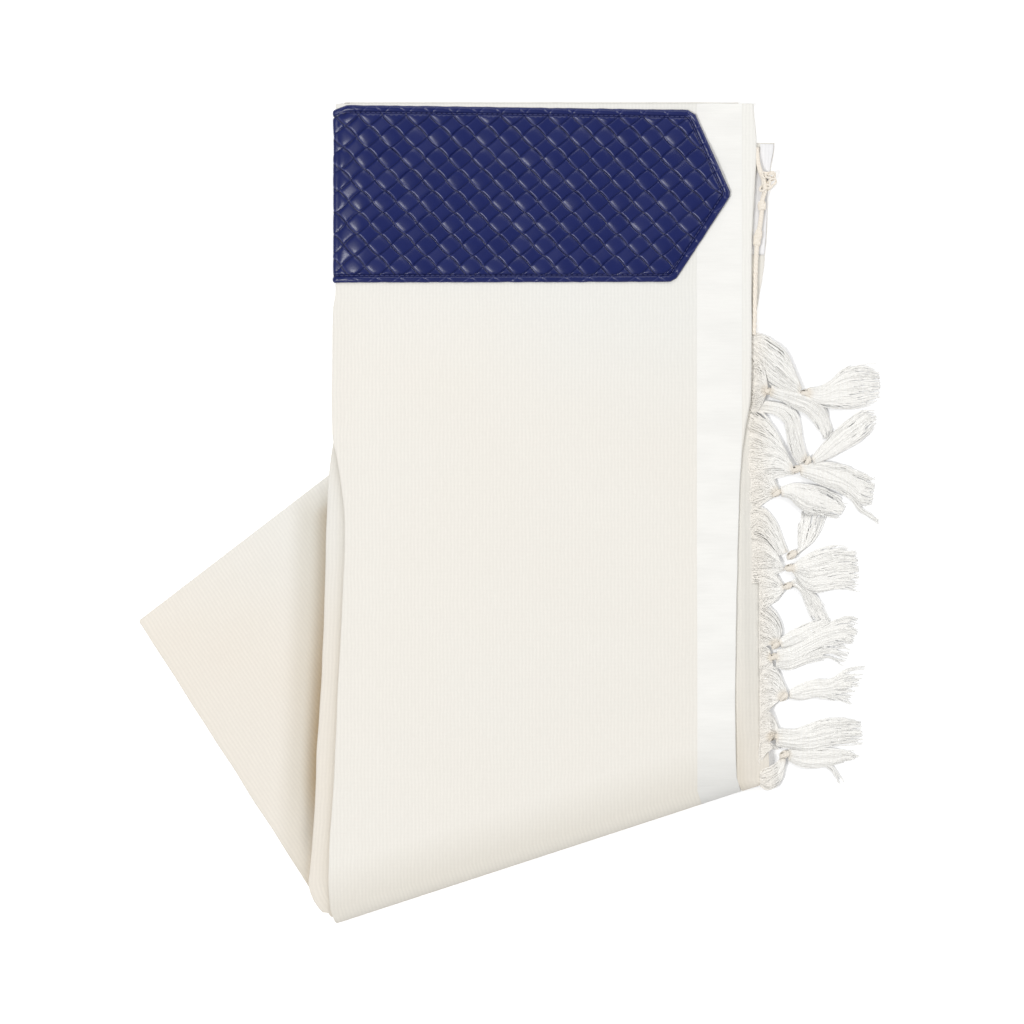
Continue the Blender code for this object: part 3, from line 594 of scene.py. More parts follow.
def ply_levels(plies, steps=8):
    """(height share, how far in its rounded edge runs, from 0 to 1) up a stack of plies."""
    levels = []
    for low, high in plies:
        for k in range(steps + (high == 1.0)):
            share = k / steps
            round_in = 1.0 - math.sqrt(max(0.0, 1 - (2 * share - 1) ** 2))
            levels.append((low + (high - low) * share, round_in))
    return levels


def sag(x, y, size, depth, seed):
    """A soft unevenness of hand-folded cloth, in millimetres."""
    return depth * noise.noise(Vector((x / size, y / size, seed)))


# Soft troughs in the top ply: (start, end, half-width, depth), all in millimetres.
CREASES = (
    ((127.0, 268.6), (152.0, 272.9), 1.1, 1.1),
    ((130.0, 265.6), (150.0, 269.2), 0.9, 0.9),
    ((126.0, 272.2), (150.0, 275.2), 0.8, 0.7),
    ((137.0, 250.0), (147.5, 224.0), 2.6, 0.9),
    ((150.5, 214.0), (140.0, 190.0), 2.4, 0.5),
    ((-30.0, 140.0), (122.0, 84.0), 9.0, 0.5),
    ((128.0, 60.0), (155.0, 52.0), 5.0, 0.5),
    ((128.0, -12.0), (152.0, -4.0), 6.0, 0.45),
    ((127.0, -120.0), (153.0, -112.0), 5.0, 0.4),
    ((-60.0, -40.0), (90.0, -88.0), 14.0, 0.45),
    ((-112.0, -140.0), (-30.0, -190.0), 10.0, 0.4),
    ((20.0, -150.0), (120.0, -130.0), 12.0, 0.35),
)


def creased(x, y, rows=CREASES):
    """How far the creases press the cloth down at a place."""
    down = 0.0
    for (x0, y0), (x1, y1), wide, depth in rows:
        dx, dy = x1 - x0, y1 - y0
        size2 = dx * dx + dy * dy
        share = ((x - x0) * dx + (y - y0) * dy) / size2
        if -0.25 < share < 1.25:
            off = ((y - y0) * dx - (x - x0) * dy) / math.sqrt(size2)
            if abs(off) < 3 * wide:
                ends = smooth((share + 0.25) / 0.45) * smooth((1.25 - share) / 0.45)
                down += depth * ends * math.exp(-(off / wide) ** 2)
    return down


# The folded left edge sinks softly, and the neckband with it: by a share as a whole, and the rest
# of it by being pressed flat.
EDGE_DROOP, DROOP_REACH, WHOLE_SHARE = 2.9, 17.0, 0.4
BOTTOM_SINK, SINK_REACH = 1.3, 20.0


def droop(inward):
    """How far the top ply sinks, at a distance in from its left fold."""
    return EDGE_DROOP * min(1.0, max(0.0, 1.0 - inward / DROOP_REACH)) ** 1.5


def bottom_sink(x, y, turn):
    """How far the stack's top sinks towards the bottom fold."""
    if turn:
        return BOTTOM_SINK * (1 + math.cos(turn)) / 2
    return BOTTOM_SINK * max(0.0, 1.0 - (y - fold_line(x)) / SINK_REACH) ** 2


BAND_LOW_Y, BAND_POINT_X = 148.0, 152.0


def under_band(x, y):
    """1 where the neckband presses the cloth flat, 0 well outside it."""
    return smooth((y - BAND_LOW_Y) / 6.0) * smooth((BAND_POINT_X - x) / 8.0)


def front_cloth(finish):
    """The top ply: turned under at both sides and at the bottom, with the satin stripe."""
    rows, columns = [], 108
    for t, turn in stations(210, 26):
        y = row_y(0.0, t, TOP_PLY_EDGE_Y)
        left = edge_at(TOP_PLY_LEFT, t, turn) + waver(y, 0.35, 21.0, 3.1)
        right = edge_at(TOP_PLY_RIGHT, t, turn) + waver(y, *RIGHT_WAVER)
        rounder = smooth((y - RIGHT_FOLD_FLAT_TO) / RIGHT_FOLD_CHANGE)
        right_fold = RIGHT_FOLD + RIGHT_FOLD_MORE * rounder
        start, end = left + LEFT_FOLD, right - right_fold
        low_left = MAIN_STACK - 2 * LEFT_FOLD
        section = [(start + FOLD_LEG, low_left, start - math.pi * LEFT_FOLD - FOLD_LEG)]
        for x, z, length in fold(LEFT_FOLD, 270, 90, 12):
            u = start - math.pi * LEFT_FOLD + length
            section.append((start + x, MAIN_STACK - LEFT_FOLD + z, u))
        for k in range(1, columns):
            x = start + (end - start) * k / columns
            section.append((x, MAIN_STACK, x))
        for x, z, length in fold(right_fold, 90, -90, 14):
            section.append((end + x, MAIN_STACK - right_fold + z, end + length))
        low = MAIN_STACK - 2 * right_fold
        section.append((end - FOLD_LEG, low, end + math.pi * right_fold + FOLD_LEG))
        row = []
        for x, z, u in section:
            px, py, pz = place(x, t, z, turn, top=TOP_PLY_EDGE_Y)
            upper = smooth((z - MAIN_STACK + 1.4) / 1.4) * (math.cos(turn) if turn < 1.5 else 0.0)
            loose = 1.0 - under_band(px, py)
            wave = sag(px, py, 70.0, 0.55, 0.0) + sag(px, py, 26.0, 0.16, 4.0)
            pz += upper * (loose * (0.25 + wave) - creased(px, py))
            whole = x <= start or z == low_left or turn > 0.0
            pz -= bottom_sink(x, py, turn) * (1.0 if whole else upper)
            if z >= low_left and x < start + DROOP_REACH:
                share = (z - low_left) / (MAIN_STACK - low_left)
                share = WHOLE_SHARE + (1 - WHOLE_SHARE) * share
                pz -= droop(x - start) * share * max(0.0, math.cos(turn))
            v = TOP_PLY_EDGE_Y - py
            if turn:
                v = TOP_PLY_EDGE_Y - fold_line(x) + FOLD_REACH * FOLD_MID * turn
            # painted shade: the top ply is darker towards the bottom fold and round it
            near = max(0.0, 1.0 - (py - fold_line(x)) / 30.0) if turn == 0.0 else 1.0
            row.append((px, py, pz, u, v, 0.3 * near))
        rows.append(row)
    return cloth_shell("front_cloth", rows, finish, wall=0.7)


def second_cloth(finish):
    """The next ply down, whose long fold shows as a roll beside the top ply's left edge."""
    rows = []
    for t, turn in stations(170, 22):
        left = edge_at(SECOND_PLY_LEFT, t, turn) + waver(row_y(-120.0, t), 0.5, 24.0, 1.7, 9.0)
        front_left = edge_at(TOP_PLY_LEFT, t, turn)
        reach = front_left + INNER_INSET - GAP
        centre = left + SECOND_FOLD
        section = []
        half = math.pi * SECOND_FOLD / 2
        for k in range(5):
            x = reach + (centre - reach) * k / 4
            section.append((x, 0.0, -(x - centre) - half))
        for x, z, length in fold(SECOND_FOLD, 270, 90, 14)[1:]:
            section.append((centre + x, SECOND_FOLD + z, length - half))
        for k in range(1, 6):
            x = centre + (reach - centre) * k / 5
            section.append((x, 2 * SECOND_FOLD, x - centre + half))
        row = []
        for x, z, u in section:
            px, py, pz = place(x, t, z, turn)
            pressed = smooth((x - front_left + 7.5) / 6.5) * z / (2 * SECOND_FOLD)
            sunk = WHOLE_SHARE * EDGE_DROOP * max(0.0, math.cos(turn)) + bottom_sink(x, py, turn)
            pz -= sunk * pressed
            # painted shade: the roll is a little darker, more where it is pressed in under the top
            # ply's edge
            row.append((px, py, pz, u, TOP_EDGE_Y - py + 0.12 * turn, 0.05 + 0.22 * pressed))
        rows.append(row)
    return cloth_shell("second_cloth", rows, finish)


def inner_cloth(finish):
    """The plies hidden in the main stack, with rounded ply edges at its top."""
    stops, columns = stations(60, 16), 60
    height = MAIN_STACK - UNDER_TOP_PLY - 2 * GAP
    plies = ((0.0, 0.36), (0.36, 0.70), (0.70, 1.0))
    levels = ply_levels(plies)

    def spot(i, j, k):
        t, turn = stops[j]
        left = edge_at(TOP_PLY_LEFT, t, turn) + INNER_INSET
        right = edge_at(TOP_PLY_RIGHT, t, turn) - INNER_INSET
        right += 7.5 * smooth((t - EXTRA_START) / 0.08)
        across = left + (right - left) * i / columns
        share, round_in = levels[k]
        x, y, z = place(across, t, height * share * (1.0 - 0.2 * smooth((t - 0.93) / 0.07)), turn)
        if j == 0:
            ply = sum(1 for low, _ in plies if share >= low)
            y -= 1.5 * round_in * 0.8 + 0.5 * abs(noise.noise(Vector((x / 30.0, ply * 3.3, 0.5))))
        return (x, y, z, x + 40 * share, TOP_EDGE_Y - y)

    return layered_block("inner_cloth", spot, (columns + 1, len(stops), len(levels)), finish)


def raised_beside_fold(x, y, end):
    """How far the end ply is held up beside the front's fold, at a place and its free edge's x."""
    height = RAISED + RAISED_MORE * smooth((RAISED_MORE_FROM - y) / 20.0)
    inside = RAISED_INSIDE * smooth((end - x - 8.0) / RAISED_INSIDE_WIDTH)
    return height * smooth((end - x) / RAISED_WIDTH) + inside


def end_cloth(finish):
    """The end of the shawl, which shows past the right fold and carries the fringe."""
    first = (TOP_EDGE_Y - END_PLY_TOP_Y) / (TOP_EDGE_Y - fold_line(170.0))
    rows, columns = [], 42
    # the last rows, which come round under the bottom fold, are left out
    for t, turn in stations(200, 22, first)[:-7]:
        cover = edge_at(TOP_PLY_RIGHT, t, turn)
        cover += waver(row_y(0.0, t, TOP_PLY_EDGE_Y), *RIGHT_WAVER)
        start = cover - INNER_INSET + GAP
        y = row_y(170.0, t, END_PLY_TOP_Y)
        end = edge_at(END_PLY_RIGHT, t, turn) + waver(y, 0.3, 9.0, 4.4, 2.0)
        row = []
        for k in range(columns + 1):
            x = start + (end - start) * k / columns
            # beside the fold it is held up, and it falls away to its free edge
            z = END_PLY_HEIGHT + raised_beside_fold(x, y, end)
            extra = FOLD_REACH * (MAIN_STACK - z) * smooth((x - cover + 1.0) / 2.0)
            px, py, pz = place(x, t, z, turn, extra)
            wave = math.sin(py / 3.1 + 1.3 * math.sin(py / 11.0))
            ruffle = smooth((x - cover) / 6.0) * 0.2 * wave
            # painted shade: the end ply is a little darker, and browner low down beside the fold
            painted_shade = 0.16 + 0.22 * smooth((cover + 9.0 - x) / 9.0) * smooth((-110.0 - y) / 60.0)
            row.append((px, py, pz + ruffle * (turn == 0.0), x, TOP_EDGE_Y - py, painted_shade))
        rows.append(row)
    return cloth_shell("end_cloth", rows, finish)


# ---------------------------------------------------------------- the flap

def flap_spot(across, t, height, turn=0.0):
    """A point of the flap: across it from its lower left edge, and down it from the rolled edge."""
    top_left, top_right = Vector(FLAP_CORNER), Vector(FLAP_HIDDEN_CORNER)
    low_left, low_right = Vector(FLAP_FOLD_LEFT), Vector(FLAP_FOLD_RIGHT)
    left = top_left + (low_left - top_left).normalized() * ROLL_INSET
    left += (low_left - left) * t
    right = top_right + (low_right - top_right).normalized() * ROLL_INSET
    right += (low_right - right) * t
    spot = left + (right - left).normalized() * across
    if turn == 0.0:
        return (spot.x, spot.y, height)
    edge = (top_right - top_left).normalized()
    out = Vector((-edge.y, edge.x)) * FLAP_REACH * (height - FLAP_MID) * math.sin(turn)
    return (spot.x + out.x, spot.y + out.y, FLAP_MID + (height - FLAP_MID) * math.cos(turn))


def roll_valley(x, y, wide):
    """1 where the flap runs in under the roll, falling to 0 at a width outside the roll."""
    edge = along(SECOND_PLY_LEFT, y)
    return max(0.0, min(1.0, (x - edge + wide) / (wide - 0.5)))


def roll_dip(x, y):
    """How far the flap sinks where it runs in under the roll."""
    depth = 3.6 * smooth((22.0 - y) / 34.0) + 1.8 * smooth((-60.0 - y) / 80.0)
    depth *= smooth((y + 240.0) / 26.0)
    out = smooth((along(SECOND_PLY_LEFT, y) + 22.0 - x) / 12.0)
    return depth * roll_valley(x, y, 17.0) ** 2 * out


def flap_width(t):
    """How wide the flap is on its row t, from its side fold to where the main stack hides it."""
    left = Vector(flap_spot(0.0, t, 0.0)[:2])
    top, low = Vector(FLAP_HIDDEN_CORNER), Vector(FLAP_FOLD_RIGHT)
    return (top + (low - top) * t - left).length


FLAP_CREASES = (
    ((-215.0, -60.0), (-150.0, -40.0), 8.0, 0.5),
    ((-205.0, -110.0), (-140.0, -70.0), 12.0, 0.45),
    ((-165.0, -160.0), (-130.0, -110.0), 9.0, 0.35),
    ((-140.0, -30.0), (-118.0, 10.0), 6.0, 0.4),
)
# The line where the flap starts to turn down into its rolled edge, its inner side on the left.
ROLLED_EDGE = (
    (FLAP_HIDDEN_CORNER[0] + 2.6, FLAP_HIDDEN_CORNER[1] - 3.8),
    (FLAP_CORNER[0] + 2.6, FLAP_CORNER[1] - 3.8),
)
ROLLED_SINK, ROLLED_WIDTH = 1.9, 13.0
FLAP_LENGTH = 250.0
FLAP_STEP_IN = 8.0  # above the side fold the hidden plies start this far in


def rolled_near(x, y):
    """1 at the line where the rolled edge starts, falling to 0 inside it."""
    return max(0.0, 1.0 - outside((x, y), *ROLLED_EDGE) / ROLLED_WIDTH)


def flap_cloth(finish):
    """The flap's top ply: a long side fold at the lower left, a rolled edge at the upper left."""
    rows, columns = [], 90
    mid = FLAP_STACK - LEFT_FOLD
    turns = [(0.0, math.pi * (1 - k / 20)) for k in range(20)] + [(k / 70, 0.0) for k in range(71)]
    for t, turn in turns:
        wide = flap_width(t)
        section = [(LEFT_FOLD + FOLD_LEG, FLAP_STACK - 2 * LEFT_FOLD, -FOLD_LEG)]
        wobble = 0.4 * noise.noise(Vector((t * 9.0, 5.0, 1.0)))
        for x, z, length in fold(LEFT_FOLD, 270, 90, 12):
            section.append((LEFT_FOLD + x + wobble, mid + z, length))
        for k in range(1, columns + 1):
            x = LEFT_FOLD + wobble + (wide - LEFT_FOLD - wobble) * k / columns
            section.append((x, FLAP_STACK, x + math.pi * LEFT_FOLD - LEFT_FOLD))
        row = []
        for a, z, length in section:
            px, py, pz = flap_spot(a, t, z, turn)
            u = length
            if a > 2 * LEFT_FOLD:
                u = abs(outside((px, py), FLAP_CORNER, FLAP_FOLD_LEFT)) + 3.0
            v = -FLAP_REACH * FLAP_MID * turn if turn else t * FLAP_LENGTH
            free = smooth((-105.0 - px) / 15.0) * max(0.0, math.cos(turn))
            if z > FLAP_STACK - 0.5:
                pz += free * (sag(px, py, 60.0, 0.5, 7.0) - creased(px, py, FLAP_CREASES))
            if z > FLAP_STACK - 2 * LEFT_FOLD:
                share = (z - FLAP_STACK + 2 * LEFT_FOLD) / (2 * LEFT_FOLD)
                near = 1.0 if turn else rolled_near(px, py)
                sunk = ROLLED_SINK * near * near * share * smooth(a / 16.0)
                pz -= sunk * (1 + math.cos(turn)) / 2
            if turn == 0.0:
                pz -= roll_dip(px, py) * z / FLAP_STACK
            # painted shade: the flap is greyer, then browner, in the valley where it runs in under
            # the roll
            painted_roll_shade = 0.25 + 0.23 * smooth((-40.0 - py) / 120.0)
            painted_shade = 0.44 * smooth(1.7 * roll_valley(px, py, 28.0))
            painted_shade += painted_roll_shade * roll_valley(px, py, 12.0) ** 1.5
            painted_shade *= smooth((26.0 - py) / 30.0)
            painted_shade *= 1.0 - 0.4 * smooth((-175.0 - py) / 55.0)
            row.append((px, py, pz, u, v, painted_shade))
        rows.append(row)
    return cloth_shell("flap_cloth", rows, finish)


def flap_inner_cloth(finish):
    """The plies hidden in the flap, with rounded ply edges along its lower left side."""
    below = FLAP_STACK - 2 * LEFT_FOLD - GAP
    top = FLAP_STACK - UNDER_TOP_PLY - GAP
    levels = [
        (below * share, 0.35 + 1.4 * round_in)
        for share, round_in in ply_levels(((0.0, 0.5), (0.5, 1.0)))
    ]
    levels += [(below + 0.02, FLAP_STEP_IN), (top, FLAP_STEP_IN)]
    columns, rows = 24, 40

    def spot(i, j, k):
        t = j / (rows - 1)
        wide = flap_width(t) - 1.0
        height, inward = levels[k]
        across = inward + (wide - inward) * (i / (columns - 1)) ** 1.6
        x, y, z = flap_spot(across, t, height)
        inside = FLAP_MID - UNDER_TOP_PLY - GAP
        swell = max(0.0, inside * inside - (z - FLAP_MID) ** 2) ** 0.5
        if j == 0:
            edge = (Vector(FLAP_HIDDEN_CORNER) - Vector(FLAP_CORNER)).normalized()
            push = FLAP_REACH * swell * 0.9 * smooth((across - FLAP_STEP_IN) / 20.0) - GAP
            x -= edge.y * push
            y += edge.x * push
        if j == rows - 1:
            x -= FOLD_OUT[0] * GAP
            y -= FOLD_OUT[1] * GAP
        dip = 1.6 * max(roll_dip(x, y), roll_dip(x + 3.0, y))
        dip += ROLLED_SINK * rolled_near(x, y) ** 2
        z = max(0.0, z - dip * z / FLAP_STACK)
        return (x, y, z, across, t * FLAP_LENGTH + 3 * height)

    return layered_block("flap_inner_cloth", spot, (columns, rows, len(levels)), finish)


PATCH_TOP_Y, PATCH_BOTTOM_Y, PATCH_WIDTH = 248.9, 174.0, 9.0


def corner_cloth(finish):
    """The satin patch on the corner, where the corner cord is tied."""
    rows = []
    for j in range(40):
        y = PATCH_TOP_Y + (PATCH_BOTTOM_Y - PATCH_TOP_Y) * j / 39
        end = along(END_PLY_RIGHT, y) - 0.5 + waver(y, 0.25, 4.0, 2.0, 6.0)
        start = end - PATCH_WIDTH
        row = []
        for i in range(10):
            x = start + (end - start) * i / 9
            z = 2.1 + raised_beside_fold(x, y, end + 0.5)
            z += 0.2 * math.sin(y / 3.3 + x / 5.0) * (i / 9)
            row.append((x, y, z, x - 40.0, 250.0 - y))
        rows.append(row)
    return cloth_shell("corner_cloth", rows, finish, wall=0.6)


# ---------------------------------------------------------------- the neckband

LEATHER = 1.0  # wall under the embossing
BAND_BEND_X = TOP_PLY_LEFT[0][1] + LEFT_FOLD
BAND_RADIUS = LEFT_FOLD + GAP
BAND_TURN = math.pi * BAND_RADIUS
BAND_TUCK = 2.6  # how far its end is tucked in, past the bend
BAND_END = -BAND_TURN - BAND_TUCK
# Its outline, flat, as lines from point to point: (along it from the bend, across it).
BAND_SIDES = (
    ((BAND_END, 154.8), (227.2, 155.3)),
    ((227.2, 155.3), (265.8, 214.4)),
    ((265.8, 214.4), (240.1, 271.4)),
    ((240.1, 271.4), (6.0, 274.8)),
    ((6.0, 274.8), (-2.2, 271.8)),
    ((241.6, 268.1), (236.4, 271.45)),
    ((264.6, 212.5), (265.0, 216.2)),
    ((224.6, 155.25), (228.6, 157.5)),
)
STRIP_DOWN = Vector((7.125, -7.3))  # from one strip to the next, down to the right
STRIP_UP = Vector((8.825, 7.3))
PLAIT_ORIGIN = Vector((20.6, 253.3))
PLAIT_RISE = 1.2
SWELL = 0.048  # how far rising strips swell over falling ones, in strips
STITCH_IN = 4.75  # how far inside the outline the stitches run
RIM_ROUND = 1.9  # the width over which the turned rim rounds down to its edge
# Lattice lines across each strip, closer at its crisp sides.
STRIP_CUTS = (-0.5, -0.475, -0.44, -0.35, -0.20, 0.0, 0.20, 0.35, 0.44, 0.475)
# Lines along the rim, by how far inside the outline they run.
RIM_CUTS = (0.3, 0.8, 1.5, 2.4, 3.3, 3.9, 4.2, 4.5, 4.8, 5.1, 5.7)


def band_spot(u, v, w):
    """A point of the neckband: u along it from the bend, v across it, w up from its underside."""
    if u >= 0.0:
        x = BAND_BEND_X + u
        lift = 1.3 * smooth((u - 205.0) / 60.0)
        return (x, v, base_height(x, v) + MAIN_STACK + GAP + w - droop(u) + lift)
    radius = BAND_RADIUS + w
    turned = min(-u, BAND_TURN)
    a = turned / BAND_RADIUS
    tuck = -u - turned
    mid = MAIN_STACK - LEFT_FOLD
    x = BAND_BEND_X - radius * math.sin(a) + tuck
    sunk = EDGE_DROOP * (WHOLE_SHARE + (1 - WHOLE_SHARE) * (1 + math.cos(a)) / 2)
    return (x, v, base_height(BAND_BEND_X, v) + mid + radius * math.cos(a) - sunk)


def side_distance(u, v, side):
    """How far inside one of its sides a point of the neckband lies."""
    (u0, v0), (u1, v1) = side
    return outside((u, v), (u0, v0), (u1, v1))


def swell(i_at, j_at):
    """How far a place on the plait's lattice moves, as rising strips swell over falling ones."""
    i, j = math.floor(i_at + 0.5), math.floor(j_at + 0.5)
    s, t = i_at - i, j_at - j
    push = SWELL if (i + j) % 2 == 0 else -SWELL
    return 2 * push * s * (1 - 4 * t * t), 2 * push * t * (1 - 4 * s * s)


def plait_spot(i_at, j_at):
    """The point of the band at a place on the plait's lattice."""
    di, dj = swell(i_at, j_at)
    return PLAIT_ORIGIN + STRIP_DOWN * (i_at + di) + STRIP_UP * (j_at + dj)


def plait_place(u, v):
    """The place on the plait's lattice that lies at a point of the band."""
    det = STRIP_DOWN.x * STRIP_UP.y - STRIP_DOWN.y * STRIP_UP.x
    du, dv = u - PLAIT_ORIGIN.x, v - PLAIT_ORIGIN.y
    i_to = (du * STRIP_UP.y - dv * STRIP_UP.x) / det
    j_to = (dv * STRIP_DOWN.x - du * STRIP_DOWN.y) / det
    i_at, j_at = i_to, j_to
    for _ in range(7):
        di, dj = swell(i_at, j_at)
        i_at, j_at = i_to - di, j_to - dj
    return i_at, j_at


def plait(u, v):
    """The embossed plait: its height, 0 in its gaps to 1, how much highlight is painted on it, and
    how near a gap.
    """
    i_at, j_at = plait_place(u, v)
    i, j = math.floor(i_at + 0.5), math.floor(j_at + 0.5)
    s, t = i_at - i, j_at - j
    rising = (i + j) % 2 == 0
    run, side = (t, s) if rising else (s, t)
    cell = noise.cell(Vector((i + 0.5, j + 0.5, 0.5)))
    other = noise.cell(Vector((i + 0.5, j + 0.5, 7.5)))
    # rising strips are full and round, and falling ones are pulled flat with crisp sides
    crown = 1.0 - (0.92 if rising else 0.70) * (2 * abs(run)) ** (4.4 if rising else 6.0)
    flank = 1.0 - (0.42 if rising else 0.14) * (2 * abs(side)) ** (4 if rising else 9)
    tilt = 0.34 * (cell - 0.5) * 2 * side + 0.34 * (other - 0.5) * 2 * run
    height = max(0.04, crown * flank * (0.90 + 0.10 * cell) + tilt)
    falling_line = smooth((abs(t) - 0.455) / 0.04)
    gap = max(0.6 * smooth((abs(s) - 0.455) / 0.04), falling_line)
    height *= 1.0 - 0.85 * gap
    # painted highlight: each strip is paler where it rises out from under the next one, on its
    # lower left, which faces the light
    painted_highlight = 0.9 * smooth((-t - 0.35) / 0.07) * (1 - falling_line) * smooth((0.5 - abs(s)) / 0.07)
    # painted highlight: each cell's crown a little paler, by chance
    painted_highlight_and_wear = max(painted_highlight, 0.1 * cell * crown)
    return height, max(0.0, painted_highlight_and_wear), gap


def rising_gap(u, v):
    """1 on the plait's gaps that run up to the right, and 0 elsewhere."""
    i_at, _ = plait_place(u, v)
    return 1.0 if abs(i_at - math.floor(i_at) - 0.5) < 0.03 else 0.0


def whole(bm):
    """All of a mesh, as an operator takes it."""
    return list(bm.verts) + list(bm.edges) + list(bm.faces)


def band_net(bm):
    """A flat net that follows the plait's strips, over more than the whole neckband."""
    known, fine = {}, len(STRIP_CUTS)

    def corner(a, b):
        if (a, b) not in known:
            at = plait_spot(*(n // fine + STRIP_CUTS[n % fine] for n in (a, b)))
            known[a, b] = bm.verts.new((at.x, at.y, 0.0))
        return known[a, b]

    for i, j in itertools.product(range(-16, 34), range(-22, 30)):
        centre = PLAIT_ORIGIN + STRIP_DOWN * i + STRIP_UP * j
        near = min(side_distance(*centre, side) for side in BAND_SIDES)
        if min(near, centre.x - BAND_END) < -9.0:
            continue
        for a, b in itertools.product(range(fine), range(fine)):
            a, b = a + i * fine, b + j * fine
            bm.faces.new((corner(a, b), corner(a + 1, b), corner(a + 1, b + 1), corner(a, b + 1)))


def cut_band(bm):
    """Cut the net to the neckband's outline, with rows along its rim and round its bend."""

    def cut(point, normal, clear=False):
        bmesh.ops.bisect_plane(
            bm, geom=whole(bm), dist=1e-5, plane_co=point, plane_no=normal, clear_outer=clear
        )

    sides = []
    for (u0, v0), (u1, v1) in BAND_SIDES:
        run = Vector((u1 - u0, v1 - v0, 0.0)).normalized()
        sides.append((Vector((u0, v0, 0.0)), Vector((run.y, -run.x, 0.0))))
    for point, normal in sides:
        cut(point, normal, clear=True)
    cut(Vector((BAND_END, 0.0, 0.0)), Vector((-1.0, 0.0, 0.0)), clear=True)
    for point, normal in sides[:4]:
        for inward in RIM_CUTS:
            cut(point - normal * inward, normal)
    for k in range(14):
        cut(Vector((-BAND_TURN * k / 13, 0.0, 0.0)), Vector((1.0, 0.0, 0.0)))
    bmesh.ops.recalc_face_normals(bm, faces=bm.faces)
    if sum(f.normal.z for f in bm.faces) < 0:
        bmesh.ops.reverse_faces(bm, faces=bm.faces)


def wall_band(bm):
    """Give the net an underside and edges; the upper side's vertices."""
    upper = {v for f in bm.faces for v in f.verts}
    border = [e for e in bm.edges if e.is_boundary]
    made = bmesh.ops.duplicate(bm, geom=whole(bm))
    below = {v: made["vert_map"][v] for e in border for v in e.verts}
    lower = [f for f in made["geom"] if isinstance(f, bmesh.types.BMFace)]
    bmesh.ops.reverse_faces(bm, faces=lower)
    for e in border:
        a, b = e.verts
        if e.link_loops[0].vert is not a:
            a, b = b, a
        bm.faces.new((b, a, below[a], below[b]))
    return upper


def leather_band(finish):
    """The neckband: a wall of leather embossed as a plait, with a turned and stitched rim."""
    bm = bmesh.new()
    band_net(bm)
    cut_band(bm)
    flat_of = bm.loops.layers.uv.new("leather")
    painted_highlight_and_wear_of = bm.verts.layers.float.new("painted_highlight_and_wear")
    groove_of = bm.verts.layers.float.new("groove")
    for f in bm.faces:
        for loop in f.loops:
            loop[flat_of].uv = (loop.vert.co.x * MM, loop.vert.co.y * MM)
    upper = wall_band(bm)
    for v in bm.verts:
        u, across = v.co.x, v.co.y
        inward = max(0.0, min(side_distance(u, across, side) for side in BAND_SIDES))
        # the trimmed edge runs a little unevenly
        uneven = 0.32 * noise.noise(Vector((u / 7.0, across / 7.0, 2.0)))
        uneven *= 1 - smooth(inward / 6.0)
        if v not in upper:
            v.co = Vector(band_spot(u, across + uneven, 0.0)) * MM
            continue
        relief, painted_highlight_and_wear, gap = plait(u, across)
        rim = 1.05 * smooth((4.3 - inward) / 1.4)
        groove = 0.5 * math.exp(-((inward - STITCH_IN) / 0.5) ** 2)
        field = smooth((inward - 4.9) / 1.2)
        soft = 0.7 * noise.noise(Vector((u / 34.0, across / 26.0, 3.0)))
        flat_fold = 0.25 + 0.75 * smooth((u + 0.5) / 3.0)
        raised = PLAIT_RISE * relief * (0.3 + 0.7 * field) * flat_fold
        height = LEATHER + raised + rim * 0.5 - groove + soft * field
        if inward < RIM_ROUND:
            edge = math.sqrt(max(0.0, 1 - (1 - inward / RIM_ROUND) ** 2))
            height = 0.1 + (height - 0.1) * edge
        edge_wear = 0.25 * smooth((1.6 - inward) / 1.2)
        # on the turned rim each rising strip leaves a rubbed ridge
        # painted highlight: on the turned rim a pale ridge is painted on each gap that runs up to
        # the right
        ridge = 1.2 * gap * (1 - field) * smooth((3.6 - inward) / 0.8) * rising_gap(u, across)
        v[painted_highlight_and_wear_of] = min(1.0, painted_highlight_and_wear * (0.6 + 0.4 * field) + edge_wear + ridge)
        seam = math.exp(-((inward - STITCH_IN) / 0.6) ** 2)
        v[groove_of] = min(1.0, 0.7 * gap * field + 0.6 * seam)
        v.co = Vector(band_spot(u, across + uneven, height)) * MM
    mesh = bpy.data.meshes.new("leather_band")
    bm.to_mesh(mesh)
    bm.free()
    mesh.shade_smooth()
    return new_piece("leather_band", mesh, finish)


# ---------------------------------------------------------------- Geometry Nodes

def new_tree(name, inputs):
    """A geometry tree with its named inputs: the tree, their identifiers, and what they give."""
    tree = bpy.data.node_groups.new(name, "GeometryNodeTree")
    ids = {}
    for label, kind in {"Geometry": "Geometry", **inputs}.items():
        socket = tree.interface.new_socket(label, in_out="INPUT", socket_type="NodeSocket" + kind)
        ids[label] = socket.identifier
    tree.interface.new_socket("Geometry", in_out="OUTPUT", socket_type="NodeSocketGeometry")
    return tree, ids, add(tree, "NodeGroupInput").outputs


def close_tree(tree, made, finish):
    """End a geometry tree: its instances are made real, and they get their finish."""
    real = add(tree, "GeometryNodeRealizeInstances", links={"Geometry": made})
    done = add(tree, "GeometryNodeSetMaterial", links={"Geometry": real, "Material": finish})
    add(tree, "NodeGroupOutput", links={"Geometry": done})


